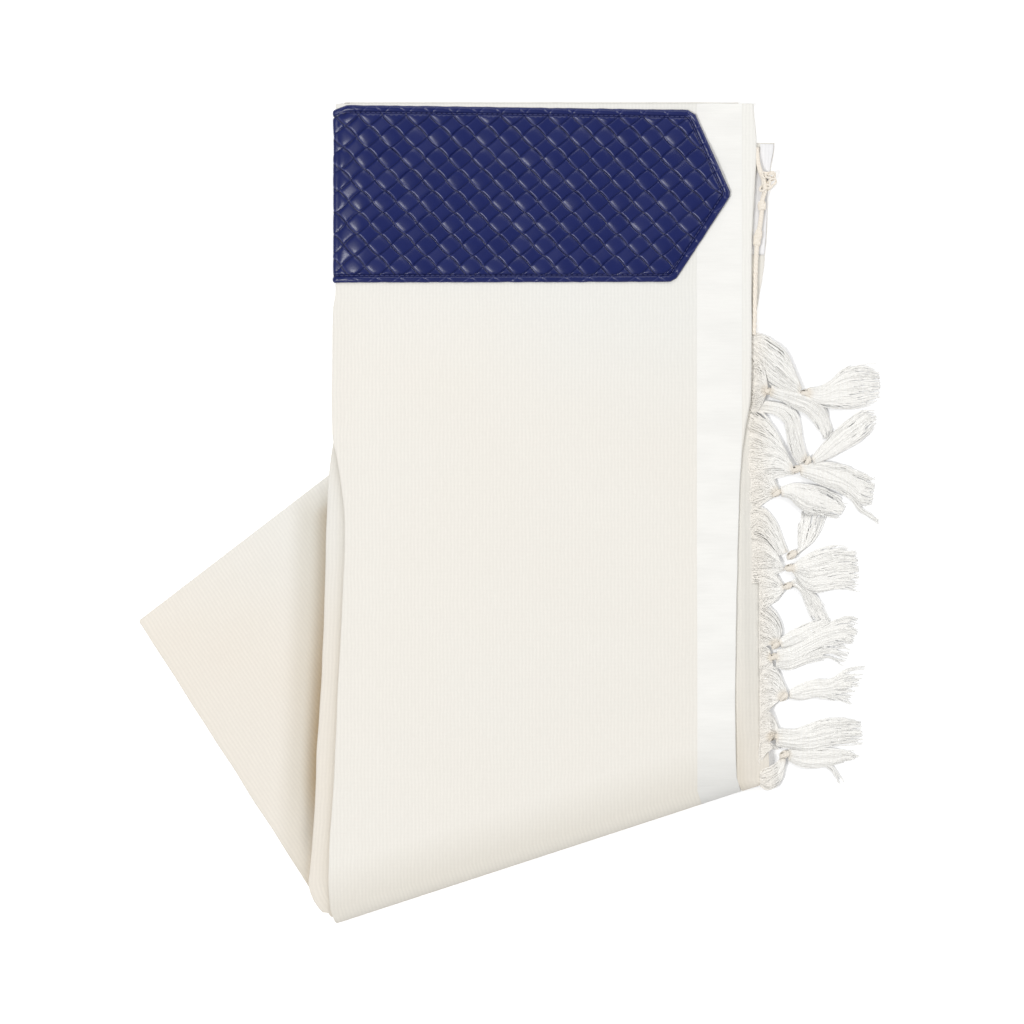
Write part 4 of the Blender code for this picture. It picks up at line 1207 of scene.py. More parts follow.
def yarn_tree():
    """Turns paths into round yarns, as thick as their radii say, marked along and around."""
    tree, ids, given = new_tree(
        "yarn_from_paths", {"Yarn Thickness": "Float", "Sides": "Int", "Finish": "Material"}
    )
    half = add(tree, "Math", TIMES, {1: 0.5}, {0: given["Yarn Thickness"]})
    ring = add(
        tree, "GeometryNodeCurvePrimitiveCircle",
        links={"Resolution": given["Sides"], "Radius": half},
    )
    path, profile = (
        add(
            tree, "GeometryNodeStoreNamedAttribute", {"data_type": "FLOAT", "domain": "POINT"},
            {"Name": label},
            {"Geometry": curve, "Value": add(tree, "GeometryNodeSplineParameter").outputs[measure]},
        )
        for curve, label, measure in (
            (given["Geometry"], "along", "Length"), (ring, "around", "Factor"),
        )
    )
    tube = add(
        tree, "GeometryNodeCurveToMesh", {}, {"Fill Caps": True},
        {"Curve": path, "Profile Curve": profile},
    )
    close_tree(tree, tube, given["Finish"])
    return tree, ids


def stitch_tree():
    """Lays a row of stitches end to end along a path, a small gap between them."""
    tree, ids, given = new_tree(
        "stitches_on_a_path",
        {"Stitch Pitch": "Float", "Stitch Length": "Float", "Thread Thickness": "Float",
         "Finish": "Material"},
    )
    holes = add(
        tree, "GeometryNodeCurveToPoints", {"mode": "LENGTH"},
        links={"Curve": given["Geometry"], "Length": given["Stitch Pitch"]},
    )
    bead = add(tree, "GeometryNodeMeshUVSphere", {}, {"Segments": 8, "Rings": 6, "Radius": 0.5})
    thick, long = given["Thread Thickness"], given["Stitch Length"]
    size = add(tree, "CombineXYZ", links={"X": thick, "Y": thick, "Z": long})
    row = add(
        tree, "GeometryNodeInstanceOnPoints",
        links={"Points": holes, "Instance": bead, "Rotation": holes.outputs["Rotation"],
               "Scale": size},
    )
    close_tree(tree, row, given["Finish"])
    return tree, ids


def grown(name, paths, growth, values):
    """Make a piece from paths of (x, y, z, radius share) rows by a geometry tree."""
    curve = bpy.data.curves.new(name, "CURVE")
    curve.dimensions = "3D"
    for path in paths:
        spline = curve.splines.new("POLY")
        spline.points.add(len(path) - 1)
        for point, (x, y, z, share) in zip(spline.points, path):
            point.co = (x * MM, y * MM, z * MM, 1.0)
            point.radius = share
    source = new_piece(name, curve)
    grower = source.modifiers.new("grow", "NODES")
    grower.node_group, ids = growth
    for label, value in values.items():
        grower[ids[label]] = value
    mesh = final_mesh(source)
    bpy.data.objects.remove(source, do_unlink=True)
    bpy.data.curves.remove(curve)
    mesh.name = name
    mesh.shade_smooth()
    return new_piece(name, mesh)


def band_stitches(growth, finish):
    """The stitch row inside the neckband's turned rim."""
    inset = []
    for (u0, v0), (u1, v1) in BAND_SIDES[:4]:
        run = Vector((u1 - u0, v1 - v0)).normalized()
        inset.append((Vector((u0, v0)) + Vector((-run.y, run.x)) * STITCH_IN, run))
    corners = [Vector((BAND_END + 3.0, inset[0][0].y))]
    for (p, r), (q, s) in zip(inset, inset[1:]):
        cross = r.x * s.y - r.y * s.x
        d = q - p
        corners.append(p + r * ((d.x * s.y - d.y * s.x) / cross))
    (_, right_v), (_, left_v) = BAND_SIDES[3]
    corners.append(Vector((-1.0, inset[3][0].y + (left_v - right_v))))
    path = []
    for a, b in zip(corners, corners[1:]):
        steps = max(2, int((b - a).length / 1.5))
        for k in range(steps):
            at = a.lerp(b, k / steps)
            path.append((*band_spot(at.x, at.y, LEATHER + 0.12), 1.0))
    return grown(
        "band_stitches", [path], growth,
        {"Stitch Pitch": 0.0034, "Stitch Length": 0.0030, "Thread Thickness": 0.0007,
         "Finish": finish},
    )


# ---------------------------------------------------------------- the fringe

# Each lock of yarns lies between two side lines, from where it starts to its tips or its knot:
# (tassel, kind, yarns, middle heights along it, one side, the other side).
LOCKS = (
    ("tassel_01", "fan", 64, (1.9, 3.6, 5.2, 4.6),
     ((162.7, 120.2), (170.1, 119.5), (177.5, 115.4), (185.0, 109.4), (191.0, 98.6), (197.1, 84.4)),
     ((162.7, 104.0), (168.8, 95.9), (175.5, 87.8), (185.6, 81.7), (195.8, 79.7))),
    ("tassel_01", "tail", 130, (4.2, 5.0, 3.4, 1.6),
     ((201.2, 83.7), (208.6, 84.4), (216.7, 88.4), (223.4, 94.5), (229.5, 97.2), (237.6, 97.9),
      (249.1, 95.9)),
     ((201.2, 77.0), (207.9, 72.9), (218.7, 70.9), (232.9, 70.9), (250.4, 74.9))),
    ("tassel_02", "fan", 44, (2.2, 4.6, 5.4, 4.4),
     ((162.0, 102.6), (167.4, 101.9), (172.1, 95.9), (174.2, 85.1)),
     ((162.0, 69.0), (166.6, 69.6), (170.4, 73.6), (172.8, 78.3))),
    ("tassel_02", "tail", 70, (5.2, 4.6, 3.6, 2.0),
     ((176.9, 85.7), (185.6, 82.4), (195.8, 81.0), (205.9, 77.0), (213.3, 69.5), (217.4, 59.4),
      (218.0, 51.3)),
     ((175.5, 78.3), (182.9, 75.6), (192.4, 70.9), (201.2, 66.2), (207.2, 59.4), (210.6, 50.0))),
    ("tassel_03", "fan", 44, (3.4, 3.0, 2.8, 3.6),
     ((164.5, 76.0), (182.0, 73.4), (192.4, 68.2), (196.4, 59.4), (197.8, 47.9), (201.2, 36.5)),
     ((164.5, 68.0), (178.0, 67.0), (186.2, 60.1), (188.3, 47.9), (191.7, 37.8), (195.8, 32.4))),
    ("tassel_03", "tail", 84, (4.6, 4.4, 4.6, 4.0),
     ((203.9, 36.5), (209.9, 43.9), (218.7, 53.3), (228.8, 61.4), (237.6, 68.2), (245.7, 68.2)),
     ((205.9, 32.4), (216.0, 36.5), (226.1, 42.5), (236.3, 48.6), (243.7, 54.7), (248.4, 60.1))),
    ("tassel_04", "fan", 84, (2.2, 3.8, 4.4, 3.8),
     ((160.7, 72.0), (170.1, 66.8), (177.5, 58.0), (184.3, 46.0), (190.4, 33.1)),
     ((160.7, 18.9), (170.1, 20.2), (178.9, 23.6), (187.7, 25.7), (192.4, 25.7))),
    ("tassel_04", "tail", 120, (3.6, 4.4, 3.4, 1.4),
     ((195.8, 32.4), (205.9, 33.1), (216.0, 33.1), (226.8, 30.4), (236.3, 26.3), (246.4, 21.6)),
     ((196.4, 25.0), (204.5, 21.6), (213.3, 17.6), (222.8, 14.9), (230.2, 10.1), (236.9, 3.4),
      (244.4, 2.7))),
    ("tassel_04", "wisp", 10, (1.4, 1.2, 1.0, 0.8),
     ((221.4, 16.2), (229.5, 12.2), (237.6, 2.7), (245.7, -2.7), (251.1, -6.8)),
     ((222.8, 13.5), (230.2, 8.8), (236.3, 1.4), (243.7, -3.4), (249.8, -7.4))),
    ("tassel_05", "fan", 50, (2.0, 3.2, 3.6, 3.4),
     ((160.7, 33.8), (170.1, 31.1), (176.9, 24.3), (181.6, 16.2)),
     ((160.7, 1.4), (167.4, 4.1), (173.5, 8.1), (178.2, 10.1))),
    ("tassel_05", "tail", 84, (4.8, 5.2, 5.6, 4.6),
     ((182.9, 16.9), (191.0, 18.9), (200.5, 18.2), (210.6, 15.5), (220.1, 10.1), (226.8, 4.7)),
     ((183.6, 10.8), (189.0, 9.5), (194.4, 4.7), (201.8, 0.0), (210.6, -1.4), (222.1, -3.4))),
    ("tassel_06", "fan", 36, (1.9, 1.9, 2.0, 3.2),
     ((162.0, 3.4), (169.4, 2.7), (176.2, -2.0), (181.6, -10.8), (185.0, -20.2), (187.7, -27.0)),
     ((162.0, -18.9), (166.1, -12.2), (171.5, -14.9), (176.9, -22.3), (181.6, -29.7))),
    ("tassel_06", "tail", 56, (3.0, 2.4, 1.8, 1.2),
     ((192.0, -27.8), (195.2, -24.6), (195.1, -17.6), (195.8, -8.1), (198.5, 0.7)),
     ((193.0, -29.4), (199.8, -24.3), (205.2, -18.9), (209.2, -10.1), (211.3, 0.7))),
    ("tassel_07", "fan", 56, (2.0, 3.4, 3.8, 3.6),
     ((163.5, -12.2), (170.1, -14.9), (178.2, -23.0), (182.9, -33.8)),
     ((163.5, -47.2), (170.1, -45.9), (178.9, -41.9), (185.0, -39.2))),
    ("tassel_07", "tail", 150, (3.8, 4.8, 3.6, 1.6),
     ((190.6, -36.4), (195.1, -33.1), (203.2, -28.4), (212.6, -25.0), (223.4, -23.0),
      (233.6, -23.6)),
     ((190.6, -39.6), (194.4, -44.6), (201.2, -52.7), (212.0, -53.3), (224.1, -51.3),
      (236.3, -52.7))),
    ("tassel_08", "fan", 52, (2.0, 3.2, 3.4, 3.2),
     ((168.6, -36.5), (171.5, -37.8), (179.6, -42.5), (184.3, -48.6)),
     ((168.6, -67.5), (171.5, -64.8), (179.6, -60.1), (185.0, -54.0))),
    ("tassel_08", "tail", 48, (3.0, 2.6, 2.2, 1.4),
     ((189.2, -48.4), (193.7, -45.2), (200.5, -50.0), (207.2, -57.4), (212.6, -64.8),
      (216.7, -72.9)),
     ((188.8, -51.4), (191.7, -50.0), (197.1, -54.7), (200.5, -62.1), (203.9, -70.2),
      (209.2, -74.9))),
    ("tassel_09", "fan", 56, (2.0, 3.6, 4.2, 4.4),
     ((168.6, -59.4), (171.5, -62.1), (178.9, -68.2), (183.6, -78.3), (182.2, -86.4)),
     ((168.6, -93.2), (168.8, -90.5), (174.2, -89.8), (178.2, -89.8))),
    ("tassel_09", "tail", 60, (4.6, 5.0, 4.8, 3.6),
     ((181.6, -86.4), (190.4, -80.3), (201.2, -75.6), (214.0, -71.6)),
     ((183.6, -91.8), (193.7, -89.1), (204.5, -83.7), (217.4, -78.3))),
    ("tassel_10", "fan", 40, (1.9, 2.8, 3.2),
     ((168.6, -86.4), (170.1, -89.8), (175.5, -93.2)),
     ((168.6, -120.2), (171.5, -113.4), (178.2, -105.3))),
    ("tassel_10", "tail", 120, (3.2, 3.8, 3.0, 1.4),
     ((180.9, -93.2), (192.4, -89.8), (205.9, -81.0), (219.4, -73.6), (229.5, -70.9),
      (237.6, -72.9)),
     ((179.6, -104.6), (189.0, -106.0), (201.2, -101.9), (214.0, -99.9), (226.1, -101.9))),
    ("tassel_11", "fan", 60, (2.0, 3.4, 3.8, 3.6),
     ((168.6, -102.6), (171.5, -102.6), (180.2, -106.7), (185.0, -115.4), (187.0, -120.8)),
     ((168.6, -141.8), (170.1, -137.7), (176.2, -132.3), (180.9, -128.2))),
    ("tassel_11", "tail", 96, (3.6, 3.8, 2.8, 1.4),
     ((189.0, -120.8), (195.8, -116.8), (205.9, -114.1), (216.7, -113.4), (226.8, -107.3),
      (240.3, -104.6)),
     ((189.0, -125.6), (197.8, -126.9), (207.2, -124.9), (217.4, -126.2), (230.2, -129.6))),
    ("tassel_12", "fan", 54, (2.0, 3.4, 3.8, 3.6),
     ((168.6, -131.0), (170.1, -133.0), (177.5, -137.7), (181.6, -145.8)),
     ((168.6, -164.7), (168.8, -162.0), (173.5, -156.6), (176.9, -153.2))),
    ("tassel_12", "tail", 130, (3.8, 4.6, 3.4, 1.6),
     ((180.2, -146.5), (191.0, -147.2), (199.8, -145.1), (210.6, -141.1), (224.1, -139.1),
      (236.3, -139.7)),
     ((179.6, -158.0), (191.0, -159.3), (203.2, -160.0), (217.4, -157.3), (238.3, -155.2))),
    ("tassel_13", "fan", 26, (2.0, 3.6, 4.4, 4.2),
     ((168.6, -155.2), (168.8, -155.2), (175.5, -155.9), (182.2, -160.7)),
     ((168.6, -172.8), (166.7, -170.1), (170.8, -166.1), (174.2, -158.6))),
    ("tassel_13", "fan", 40, (2.0, 3.2, 4.0, 3.6),
     ((168.6, -175.5), (171.5, -174.2), (179.6, -170.1), (183.6, -166.1)),
     ((168.6, -184.5), (174.2, -187.0), (183.6, -180.9), (186.3, -167.4))),
    ("tassel_13", "tail", 70, (2.8, 2.6, 2.2, 1.2),
     ((188.3, -160.7), (197.1, -161.3), (207.9, -160.7), (220.1, -160.7), (229.5, -162.0),
      (235.6, -165.4)),
     ((188.3, -168.1), (195.8, -171.5), (205.2, -172.8), (215.3, -171.5), (224.1, -168.8),
      (230.9, -168.1))),
    ("tassel_13", "wisp", 8, (1.4, 1.2, 1.0, 0.8),
     ((213.3, -168.8), (220.1, -172.1), (225.5, -178.2), (228.2, -180.9)),
     ((212.0, -171.5), (217.4, -174.8), (221.4, -180.2), (223.4, -184.3))),
)
# Each tassel's knot: (x, y, radius, degrees that the bundle runs there).
KNOTS = {
    "tassel_01": (199.8, 80.3, 2.74, -25),
    "tassel_02": (174.2, 81.7, 2.53, -20),
    "tassel_03": (201.2, 34.4, 2.42, 35),
    "tassel_04": (193.7, 29.0, 2.63, 0),
    "tassel_05": (180.2, 12.8, 2.42, 10),
    "tassel_06": (190.4, -29.0, 2.84, 15),
    "tassel_07": (189.0, -37.8, 2.53, -20),
    "tassel_08": (187.7, -50.0, 2.42, 0),
    "tassel_09": (179.6, -89.8, 2.53, 20),
    "tassel_10": (178.2, -97.9, 2.32, 0),
    "tassel_11": (185.0, -124.9, 2.63, 20),
    "tassel_12": (177.5, -151.9, 2.42, 0),
    "tassel_13": (185.6, -164.0, 2.63, 0),
}
BUNCH = 7  # yarns that cling together in a lock
YARNS_DRAWN = 1.7  # for each yarn the table names
FINE_SHARE, STRAY_SHARE, RAISED_SHARE = 0.3, 0.14, 0.12
PHASES, TURN = 6.3, 6.28  # radians: the range of a chance phase, and one whole wave
PACKED_UNDER, PACKED_DEPTH = 0.26, 3.6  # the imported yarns, below the drawn ones
WINDINGS, CROSSINGS = 15, 7  # the yarns wound round a knot, and the ones that cross it
HALF_YARN = 0.3
LIFT_ON_TABLE, LIFT_ON_CLOTH = 0.4, 0.55  # the lowest a yarn's middle can lie
EDGE_FALL = 9.0  # how far past the end ply's edge a yarn takes to come down to the table


def curve_spot(points, s):
    """A point on one smooth curve through a few points, s from 0 to 1, and the way it runs."""
    count = len(points) - 1
    at = min(s * count, count - 1e-6)
    k = int(at)
    t = at - k
    p0 = points[max(k - 1, 0)]
    p1, p2 = points[k], points[k + 1]
    p3 = points[min(k + 2, count)]
    spot = 0.5 * (
        2 * p1 + (p2 - p0) * t + (2 * p0 - 5 * p1 + 4 * p2 - p3) * t * t
        + (3 * p1 - p0 - 3 * p2 + p3) * t ** 3
    )
    way = 0.5 * (
        (p2 - p0) + 2 * (2 * p0 - 5 * p1 + 4 * p2 - p3) * t
        + 3 * (3 * p1 - p0 - 3 * p2 + p3) * t * t
    )
    return spot, way.normalized()


def resting_height(x, y):
    """The lowest a yarn's middle can lie: on the table, or on the end ply's free edge."""
    edge = cloth_edge(y)
    lift = base_height(min(x, edge), y) + CLOTH + LIFT_ON_CLOTH
    return LIFT_ON_TABLE + (lift - LIFT_ON_TABLE) * (1.0 - smooth((x - edge) / EDGE_FALL))


def lock_spot(lock, s, share):
    """A point on a lock's upper face, s along it and a share of the way across; its lowest z."""
    _, kind, _, heights, side_one, side_two = lock
    one = [Vector((x, y, 0.0)) for x, y in side_one]
    two = [Vector((x, y, 0.0)) for x, y in side_two]
    mids = [Vector((0.0, 0.0, z)) for z in heights]
    a, b = curve_spot(one, s)[0], curve_spot(two, s)[0]
    inner = min(1.0, max(0.0, share))
    crown = math.sqrt(max(0.0, 1.0 - (2 * inner - 1.0) ** 2))
    spot = a.lerp(b, share)
    rest = resting_height(spot.x, spot.y)
    top = 1.12 * curve_spot(mids, s)[0].z
    if kind == "fan":
        z = rest + max(0.9, top - rest) * (0.45 + 0.55 * crown)
        z += (rest + 0.8 + 0.2 * crown - z) * (1.0 - smooth(s / 0.5))
    else:
        thin = 1.0 - 0.8 * smooth((s - 0.45) / 0.55)
        z = rest + max(0.3, top - rest) * (0.5 + 0.5 * crown) * thin
    return Vector((spot.x, spot.y, z)), rest, b - a


def lock_yarns(lock, chance):
    """The yarns of one lock, in bunches that cling together and part again."""
    free, count = lock[1] != "fan", round(lock[2] * YARNS_DRAWN)
    steps = 16 if free else 10
    bunches = max(3, round(count / BUNCH))
    order = list(range(bunches))
    chance.shuffle(order)
    paths = []
    for n in range(count):
        if n % BUNCH == 0:
            k = order[(n // BUNCH) % bunches]
            home = (k + chance.uniform(0.15, 0.85)) / bunches
            drift = chance.gauss(0.0, 0.06 if free else 0.02)
            swing, swings = chance.uniform(0.1, 0.6), chance.uniform(0.8, 2.2)
            swing_at = chance.uniform(0.0, PHASES)
            bunch_reach = chance.uniform(0.78, 1.06)
        loose = chance.gauss(0.0, 1.1 / bunches + 0.02)
        fine = chance.random() < FINE_SHARE
        lift = chance.uniform(-0.12, 0.28) * 2 * HALF_YARN
        stray = free and chance.random() < STRAY_SHARE
        if chance.random() < RAISED_SHARE:
            lift += chance.uniform(0.1, 0.7)
        reach = min(1.1, bunch_reach * chance.uniform(0.72, 1.12)) if free else 1.0
        wave, waves = chance.uniform(0.05, 0.35), chance.uniform(1.5, 4.5)
        wave_at, rise_at = chance.uniform(0.0, PHASES), chance.uniform(0.0, PHASES)
        curl = chance.gauss(0.0, 2.6 if stray else 1.3 if fine else 0.6) if free else 0.0
        if free:
            reach *= 1.0 - 0.2 * (2 * home - 1.0) ** 2
        if stray:
            reach = chance.uniform(0.85, 1.1)
        path = []
        for step in range(steps + 1):
            s = reach * step / steps
            parted = smooth(s * 1.6) if free else math.sin(math.pi * min(1.0, s))
            share = home + drift * parted + loose * (0.5 + parted)
            share += 0.5 * loose * math.sin(wave_at + 5.0 * s)
            share = min(1.03, max(-0.03, share))
            spot, rest, across = lock_spot(lock, min(1.0, s), share)
            if s > 1.0:
                spot += (spot - Vector(path[-1][:3])).normalized() * 0.8
            room = min(1.0, across.length / 12)
            off = wave * math.sin(wave_at + TURN * waves * s) * (0.4 + 0.6 * parted)
            off += swing * math.sin(swing_at + TURN * swings * s) * parted * room
            off += curl * s ** 3
            spot = spot + across.normalized() * off
            z = spot.z + lift + 0.08 * math.sin(rise_at + 8.0 * s)
            thick = 0.45 if stray else 0.6 if fine else 1.0
            if free:
                thick *= 1.0 - 0.65 * smooth((step / steps - 0.6) / 0.4)
            path.append((spot.x, spot.y, max(rest, z), thick))
        paths.append(path)
    return paths


def packed_yarns(piece, locks, knot):
    """Fill each lock with the yarns packed inside it, as one soft body under the drawn yarns, and
    mark where shade is painted on the yarns: round the knot and near the cloth.
    """
    bm = bmesh.new()
    bm.from_mesh(piece.data)
    along_of, around_of = bm.verts.layers.float["along"], bm.verts.layers.float["around"]
    columns, rings = 12, 15
    for number, lock in enumerate(locks):
        free = lock[1] != "fan"
        loops, added = [], []
        for r in range(rings + 1):
            upper, lower = [], []
            for c in range(columns + 1):
                share = 0.03 + 0.94 * c / columns
                end = 0.60 + 0.2 * noise.noise(Vector((share * 7.0, number * 3.7, 1.5)))
                s = r / rings * (end if free else 1.0)
                spot, rest, across = lock_spot(lock, s, share)
                ridge = 0.16 * noise.noise(Vector((share * across.length / 1.3, s * 2.0, number)))
                thin = 1.0 - 0.9 * smooth((r / rings - 0.7) / 0.3) if free else 1.0
                z = rest + (spot.z + ridge - PACKED_UNDER - rest) * thin
                floor = max(rest - 0.3, z - PACKED_DEPTH)
                edge = abs(2 * c / columns - 1.0) ** 4
                low = floor + (z - floor) * 0.5 * edge
                high = z - (z - floor) * 0.5 * edge
                along = s * 4.0 * MM
                around = share * across.length / 2.2
                for row, height in ((upper, high), (lower, low)):
                    v = bm.verts.new((spot.x * MM, spot.y * MM, height * MM))
                    v[along_of], v[around_of] = along, around
                    row.append(v)
            loops.append(upper + lower[::-1])
        size = len(loops[0])
        for a, b in zip(loops, loops[1:]):
            for k in range(size):
                added.append(bm.faces.new((a[k], a[(k + 1) % size], b[(k + 1) % size], b[k])))
        added.append(bm.faces.new(loops[0]))
        added.append(bm.faces.new(loops[-1][::-1]))
        bmesh.ops.recalc_face_normals(bm, faces=added)
    for f in bm.faces:
        f.smooth = True
    # painted shade: the yarns are darker round the knot and near the cloth's edge
    painted_yarn_shade_of = bm.verts.layers.float.new("painted_yarn_shade")
    kx, ky, radius, _ = knot
    centre = Vector((kx, ky)) * MM
    for v in bm.verts:
        off = (v.co.xy - centre).length / (radius * MM)
        near_cloth = smooth((cloth_edge(v.co.y / MM) + 12.0 - v.co.x / MM) / 16.0)
        v[painted_yarn_shade_of] = min(1.0, 0.55 * smooth((2.5 - off) / 1.6) + 0.32 * near_cloth)
    bm.to_mesh(piece.data)
    bm.free()


def knot_yarns(knot, chance):
    """An overhand knot: yarns wound round the bundle, and one bundle that crosses over them."""
    kx, ky, radius, degrees = knot
    run = Vector((math.cos(math.radians(degrees)), math.sin(math.radians(degrees)), 0.0))
    side = Vector((-run.y, run.x, 0.0))
    lift = radius * 0.9 + 0.5
    centre = Vector((kx, ky, lift))
    paths = []
    for k in range(WINDINGS):
        share = (k + 0.5) / WINDINGS * 2 - 1
        big = radius * math.sqrt(1 - 0.55 * share * share) * chance.uniform(0.92, 1.03)
        begin = chance.uniform(-0.4, 0.4)
        path = []
        for step in range(17):
            a = begin + 2 * math.pi * 1.02 * step / 16
            lead = share * radius * 0.72 + 0.55 * radius * math.sin(a + 0.5)
            spot = centre + run * lead + side * math.cos(a) * big
            spot.z += math.sin(a) * big * 0.85
            path.append((spot.x, spot.y, max(0.5, spot.z), 1.25))
        paths.append(path)
    for k in range(CROSSINGS):
        lane = (k - CROSSINGS // 2) * 0.36 + chance.uniform(-0.1, 0.1)
        path = []
        for step in range(11):
            t = step / 10 * 2 - 1
            spot = centre + run * t * radius * 1.25 + side * (lane + 0.55 * radius * t)
            spot.z += radius * 1.05 * (1 - 0.75 * t * t)
            path.append((spot.x, spot.y, max(0.5, spot.z), 1.2))
        paths.append(path)
    return paths


def tassel_paths(name, seed):
    """One tassel: its locks from the cloth to its knot, the knot, and the loose tail."""
    chance = random.Random(seed)
    paths = knot_yarns(KNOTS[name], chance)
    for lock in LOCKS:
        if lock[0] == name:
            paths += lock_yarns(lock, chance)
    return paths


# The corner cord, the tzitzit: (x, y, height of its middle) from the patch down to the fringe.
CORNER_CORD = (
    (166.8, 246.0, 4.6), (167.4, 238.0, 4.9), (169.0, 230.5, 5.6), (171.5, 223.5, 6.4),
    (172.2, 217.5, 5.8), (170.4, 210.0, 5.0), (170.2, 204.6, 4.8), (169.6, 198.0, 4.4),
    (168.4, 190.0, 4.4), (167.2, 184.0, 4.2), (166.8, 178.0, 4.2), (166.2, 166.0, 3.5),
    (165.6, 142.0, 3.3), (165.0, 120.0, 3.3),
)
# Where it is wound round: (place along it, radius, turns, how far one turn runs).
CORD_KNOTS = ((5.6, 2.3, 2.2, 2.2), (8.6, 2.1, 3.0, 2.3), (9.4, 1.9, 1.6, 1.9))
CORD_LAY, STRAND_OUT = 7.0, 0.85  # the length of one twist, and each strand's distance out


def across_way(way):
    """The two directions square to a way: one sideways, and one up."""
    side = way.cross(Vector((0, 0, 1))).normalized()
    return side, side.cross(way)


def cord_paths():
    """The corner cord: four strands twisted together, its wound knots, and a tangle of loops."""
    middle = [Vector(row) for row in CORNER_CORD]
    length = sum((b - a).length for a, b in zip(middle, middle[1:]))
    paths = []
    for strand in range(4):
        path = []
        for k in range(151):
            spot, way = curve_spot(middle, k / 150)
            side, up = across_way(way)
            a = strand * math.pi / 2 + k / 150 * length / CORD_LAY * 2 * math.pi
            spot = spot + side * math.cos(a) * STRAND_OUT + up * math.sin(a) * STRAND_OUT
            path.append((*spot, 1.0))
        paths.append(path)
    for at, radius, turns, pitch in CORD_KNOTS:
        centre, way = curve_spot(middle, at / (len(middle) - 1))
        side, up = across_way(way)
        for strand in range(2):
            path = []
            for k in range(45):
                share = k / 44
                a = 2 * math.pi * turns * share + strand * math.pi
                lead = (share - 0.5) * pitch * turns
                big = radius * (0.75 + 0.25 * math.sin(math.pi * share))
                spot = centre + way * lead + side * math.cos(a) * big + up * math.sin(a) * big * 0.8
                path.append((*spot, 1.15))
            paths.append(path)
    # the tangle: thick loops that pass over and under each other
    for cx, cy, wide, tall, lean, lobes in (
        (174.2, 225.4, 4.6, 5.2, 0.5, 3), (176.0, 221.8, 3.8, 4.4, 1.7, 2),
        (172.2, 220.0, 3.8, 4.4, 2.6, 3), (175.8, 227.6, 3.2, 3.4, 0.2, 2),
    ):
        path = []
        for k in range(61):
            a = 2 * math.pi * k / 60
            out = 0.72 + 0.28 * math.cos(lobes * a + lean)
            x, y = wide * out * math.cos(a), tall * out * math.sin(a)
            path.append((
                cx + x * math.cos(lean) - y * math.sin(lean),
                cy + x * math.sin(lean) + y * math.cos(lean),
                6.4 + 1.5 * math.sin(lobes * a + lean), 1.5,
            ))
        paths.append(path)
    return paths


# ---------------------------------------------------------------- make it all

panel_weave = ribbed_wool(
    "ribbed_wool_with_satin_stripe", STRIPE, painted_tone_line=((0.36, 0.93, 0.0), 0.118)
)
plain_weave = ribbed_wool(
    "ribbed_wool", None, "E8E1D6", "E7E5DF", painted_tone_line=((0.25, 0.97, 0.0), -0.085)
)
patch_satin = ribbed_wool("satin_patch", (-200.0, -100.0), "E9E8E8", "E6E6E8")
wool_yarn = yarn_finish("fringe_wool_yarn", "F9F8F5", "F0EEE9", 0.003, even=0.55)
cord_yarn = yarn_finish("corner_cord_yarn", "F4EDE3", "EAE1D3", 0.0035, even=0.4)
leather = plaited_leather("embossed_navy_leather")
thread = waxed_thread("navy_waxed_thread", "2A3064")

front = front_cloth(panel_weave)
second = second_cloth(plain_weave)
inner = inner_cloth(plain_weave)
end = end_cloth(plain_weave)
flap = flap_cloth(plain_weave)
flap_inner = flap_inner_cloth(plain_weave)
patch = corner_cloth(patch_satin)
band = leather_band(leather)
yarn_growth = yarn_tree()
seam = band_stitches(stitch_tree(), thread)
cord = grown(
    "corner_cord", cord_paths(), yarn_growth,
    {"Yarn Thickness": 0.0016, "Sides": 8, "Finish": cord_yarn},
)
FIRST_SEED = 40
for k, name in enumerate(KNOTS):
    made = grown(
        name + "_yarns", tassel_paths(name, FIRST_SEED + k), yarn_growth,
        {"Yarn Thickness": 2 * HALF_YARN * MM, "Sides": 5, "Finish": wool_yarn},
    )
    own = [lock for lock in LOCKS if lock[0] == name and lock[1] != "wisp"]
    packed_yarns(made, own, KNOTS[name])
    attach(made, "root")
    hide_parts(name)

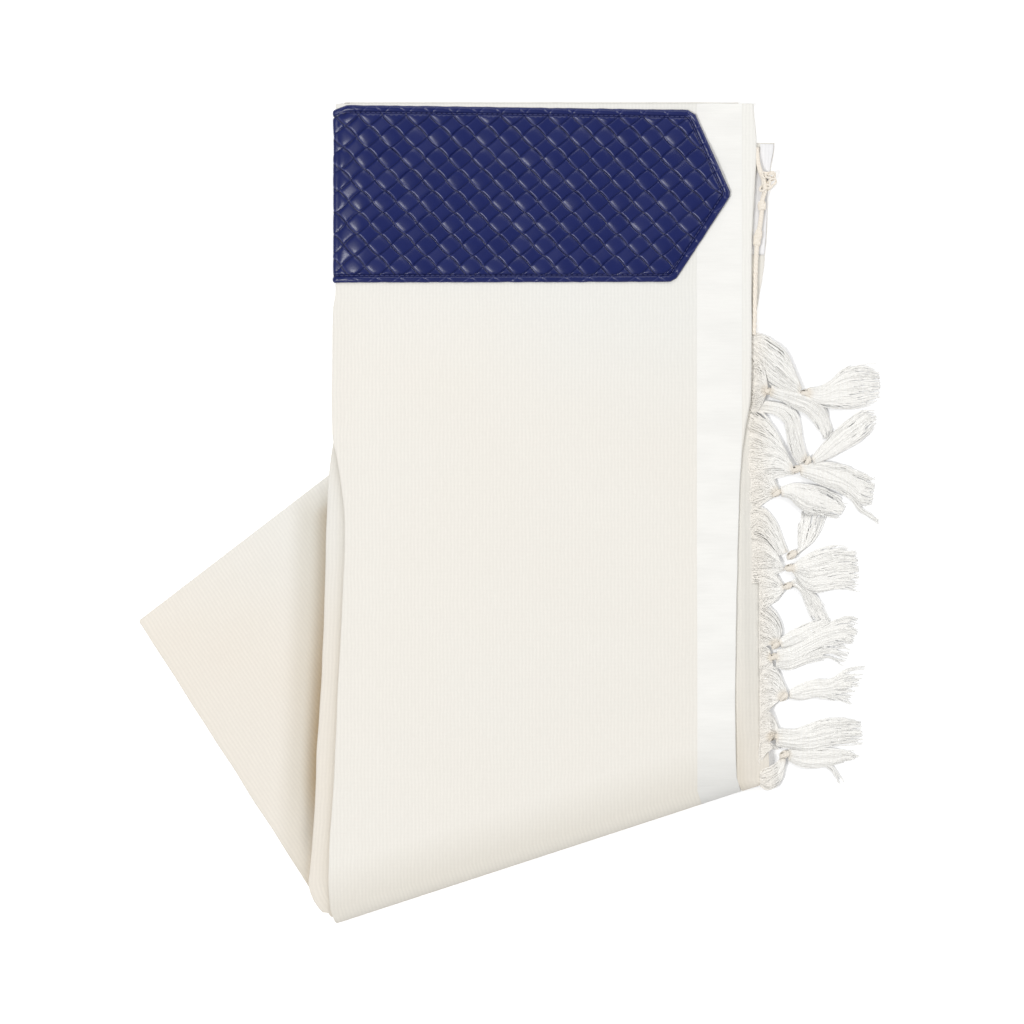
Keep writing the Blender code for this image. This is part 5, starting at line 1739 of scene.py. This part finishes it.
for piece, node, slot in (
    (front, "front_panel", "shawl_cloth"),
    (second, "second_ply_roll", "shawl_cloth"),
    (inner, "inner_layers", "shawl_cloth"),
    (end, "end_ply", "shawl_cloth"),
    (flap, "flap_panel", "shawl_cloth"),
    (flap_inner, "flap_layers", "shawl_cloth"),
    (patch, "corner_patch", "satin"),
    (band, "atarah", "neckband_leather"),
    (cord, "tzitzit", "fringe_yarn"),
):
    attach(piece, "root")
    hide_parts(node)
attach(seam, "root")

# ---------------------------------------------------------------- floor, light and camera

FLOOR_HALF, FLOOR_Z = 3.0, -0.0004
floor_mesh = bpy.data.meshes.new("floor")
floor_corners = ((-1, -1), (1, -1), (1, 1), (-1, 1))
floor_mesh.from_pydata(
    [(x * FLOOR_HALF, y * FLOOR_HALF, FLOOR_Z) for x, y in floor_corners], [], [(0, 1, 2, 3)]
)
new_piece("floor", floor_mesh, white_acrylic("white_acrylic"))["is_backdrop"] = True

world = bpy.data.worlds.new("studio")
bpy.context.scene.world = world
world.use_nodes = True
sky = world.node_tree.nodes["Background"]
sky.inputs["Color"].default_value = linear("FFFFFF")
sky.inputs["Strength"].default_value = 0.30


def softbox(name, place_at, aim, size, power):
    """A square studio softbox."""
    lamp = bpy.data.lights.new(name, "AREA")
    lamp.size = size
    lamp.energy = power
    holder = bpy.data.objects.new(name, lamp)
    holder.location = place_at
    way = Vector(aim) - Vector(place_at)
    holder.rotation_euler = way.to_track_quat("-Z", "Y").to_euler()
    bpy.context.collection.objects.link(holder)


softbox("left_box", (-1.4, -0.52, 2.85), (0.0, 0.1, 0.0), 0.75, 56.0)
softbox("right_box", (2.7, 1.0, 2.0), (0.0, 0.0, 0.0), 1.9, 36.0)
softbox("top_box", (0.2, 2.6, 2.4), (0.0, 0.0, 0.0), 1.8, 29.0)
softbox("bottom_box", (0.6, -2.6, 2.4), (0.0, 0.0, 0.0), 1.8, 3.0)

lens = bpy.data.cameras.new("camera")
lens.lens = 150.0
lens.sensor_width = 36.0
camera = bpy.data.objects.new("camera", lens)
camera.location = (0.00135, 0.0, 2.888)
bpy.context.collection.objects.link(camera)
bpy.context.scene.camera = camera
bpy.context.scene.view_settings.view_transform = "Standard"

visual_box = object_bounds()
boxes = [[list(map(float, corner)) for corner in box] for box in (cad_box, visual_box)]
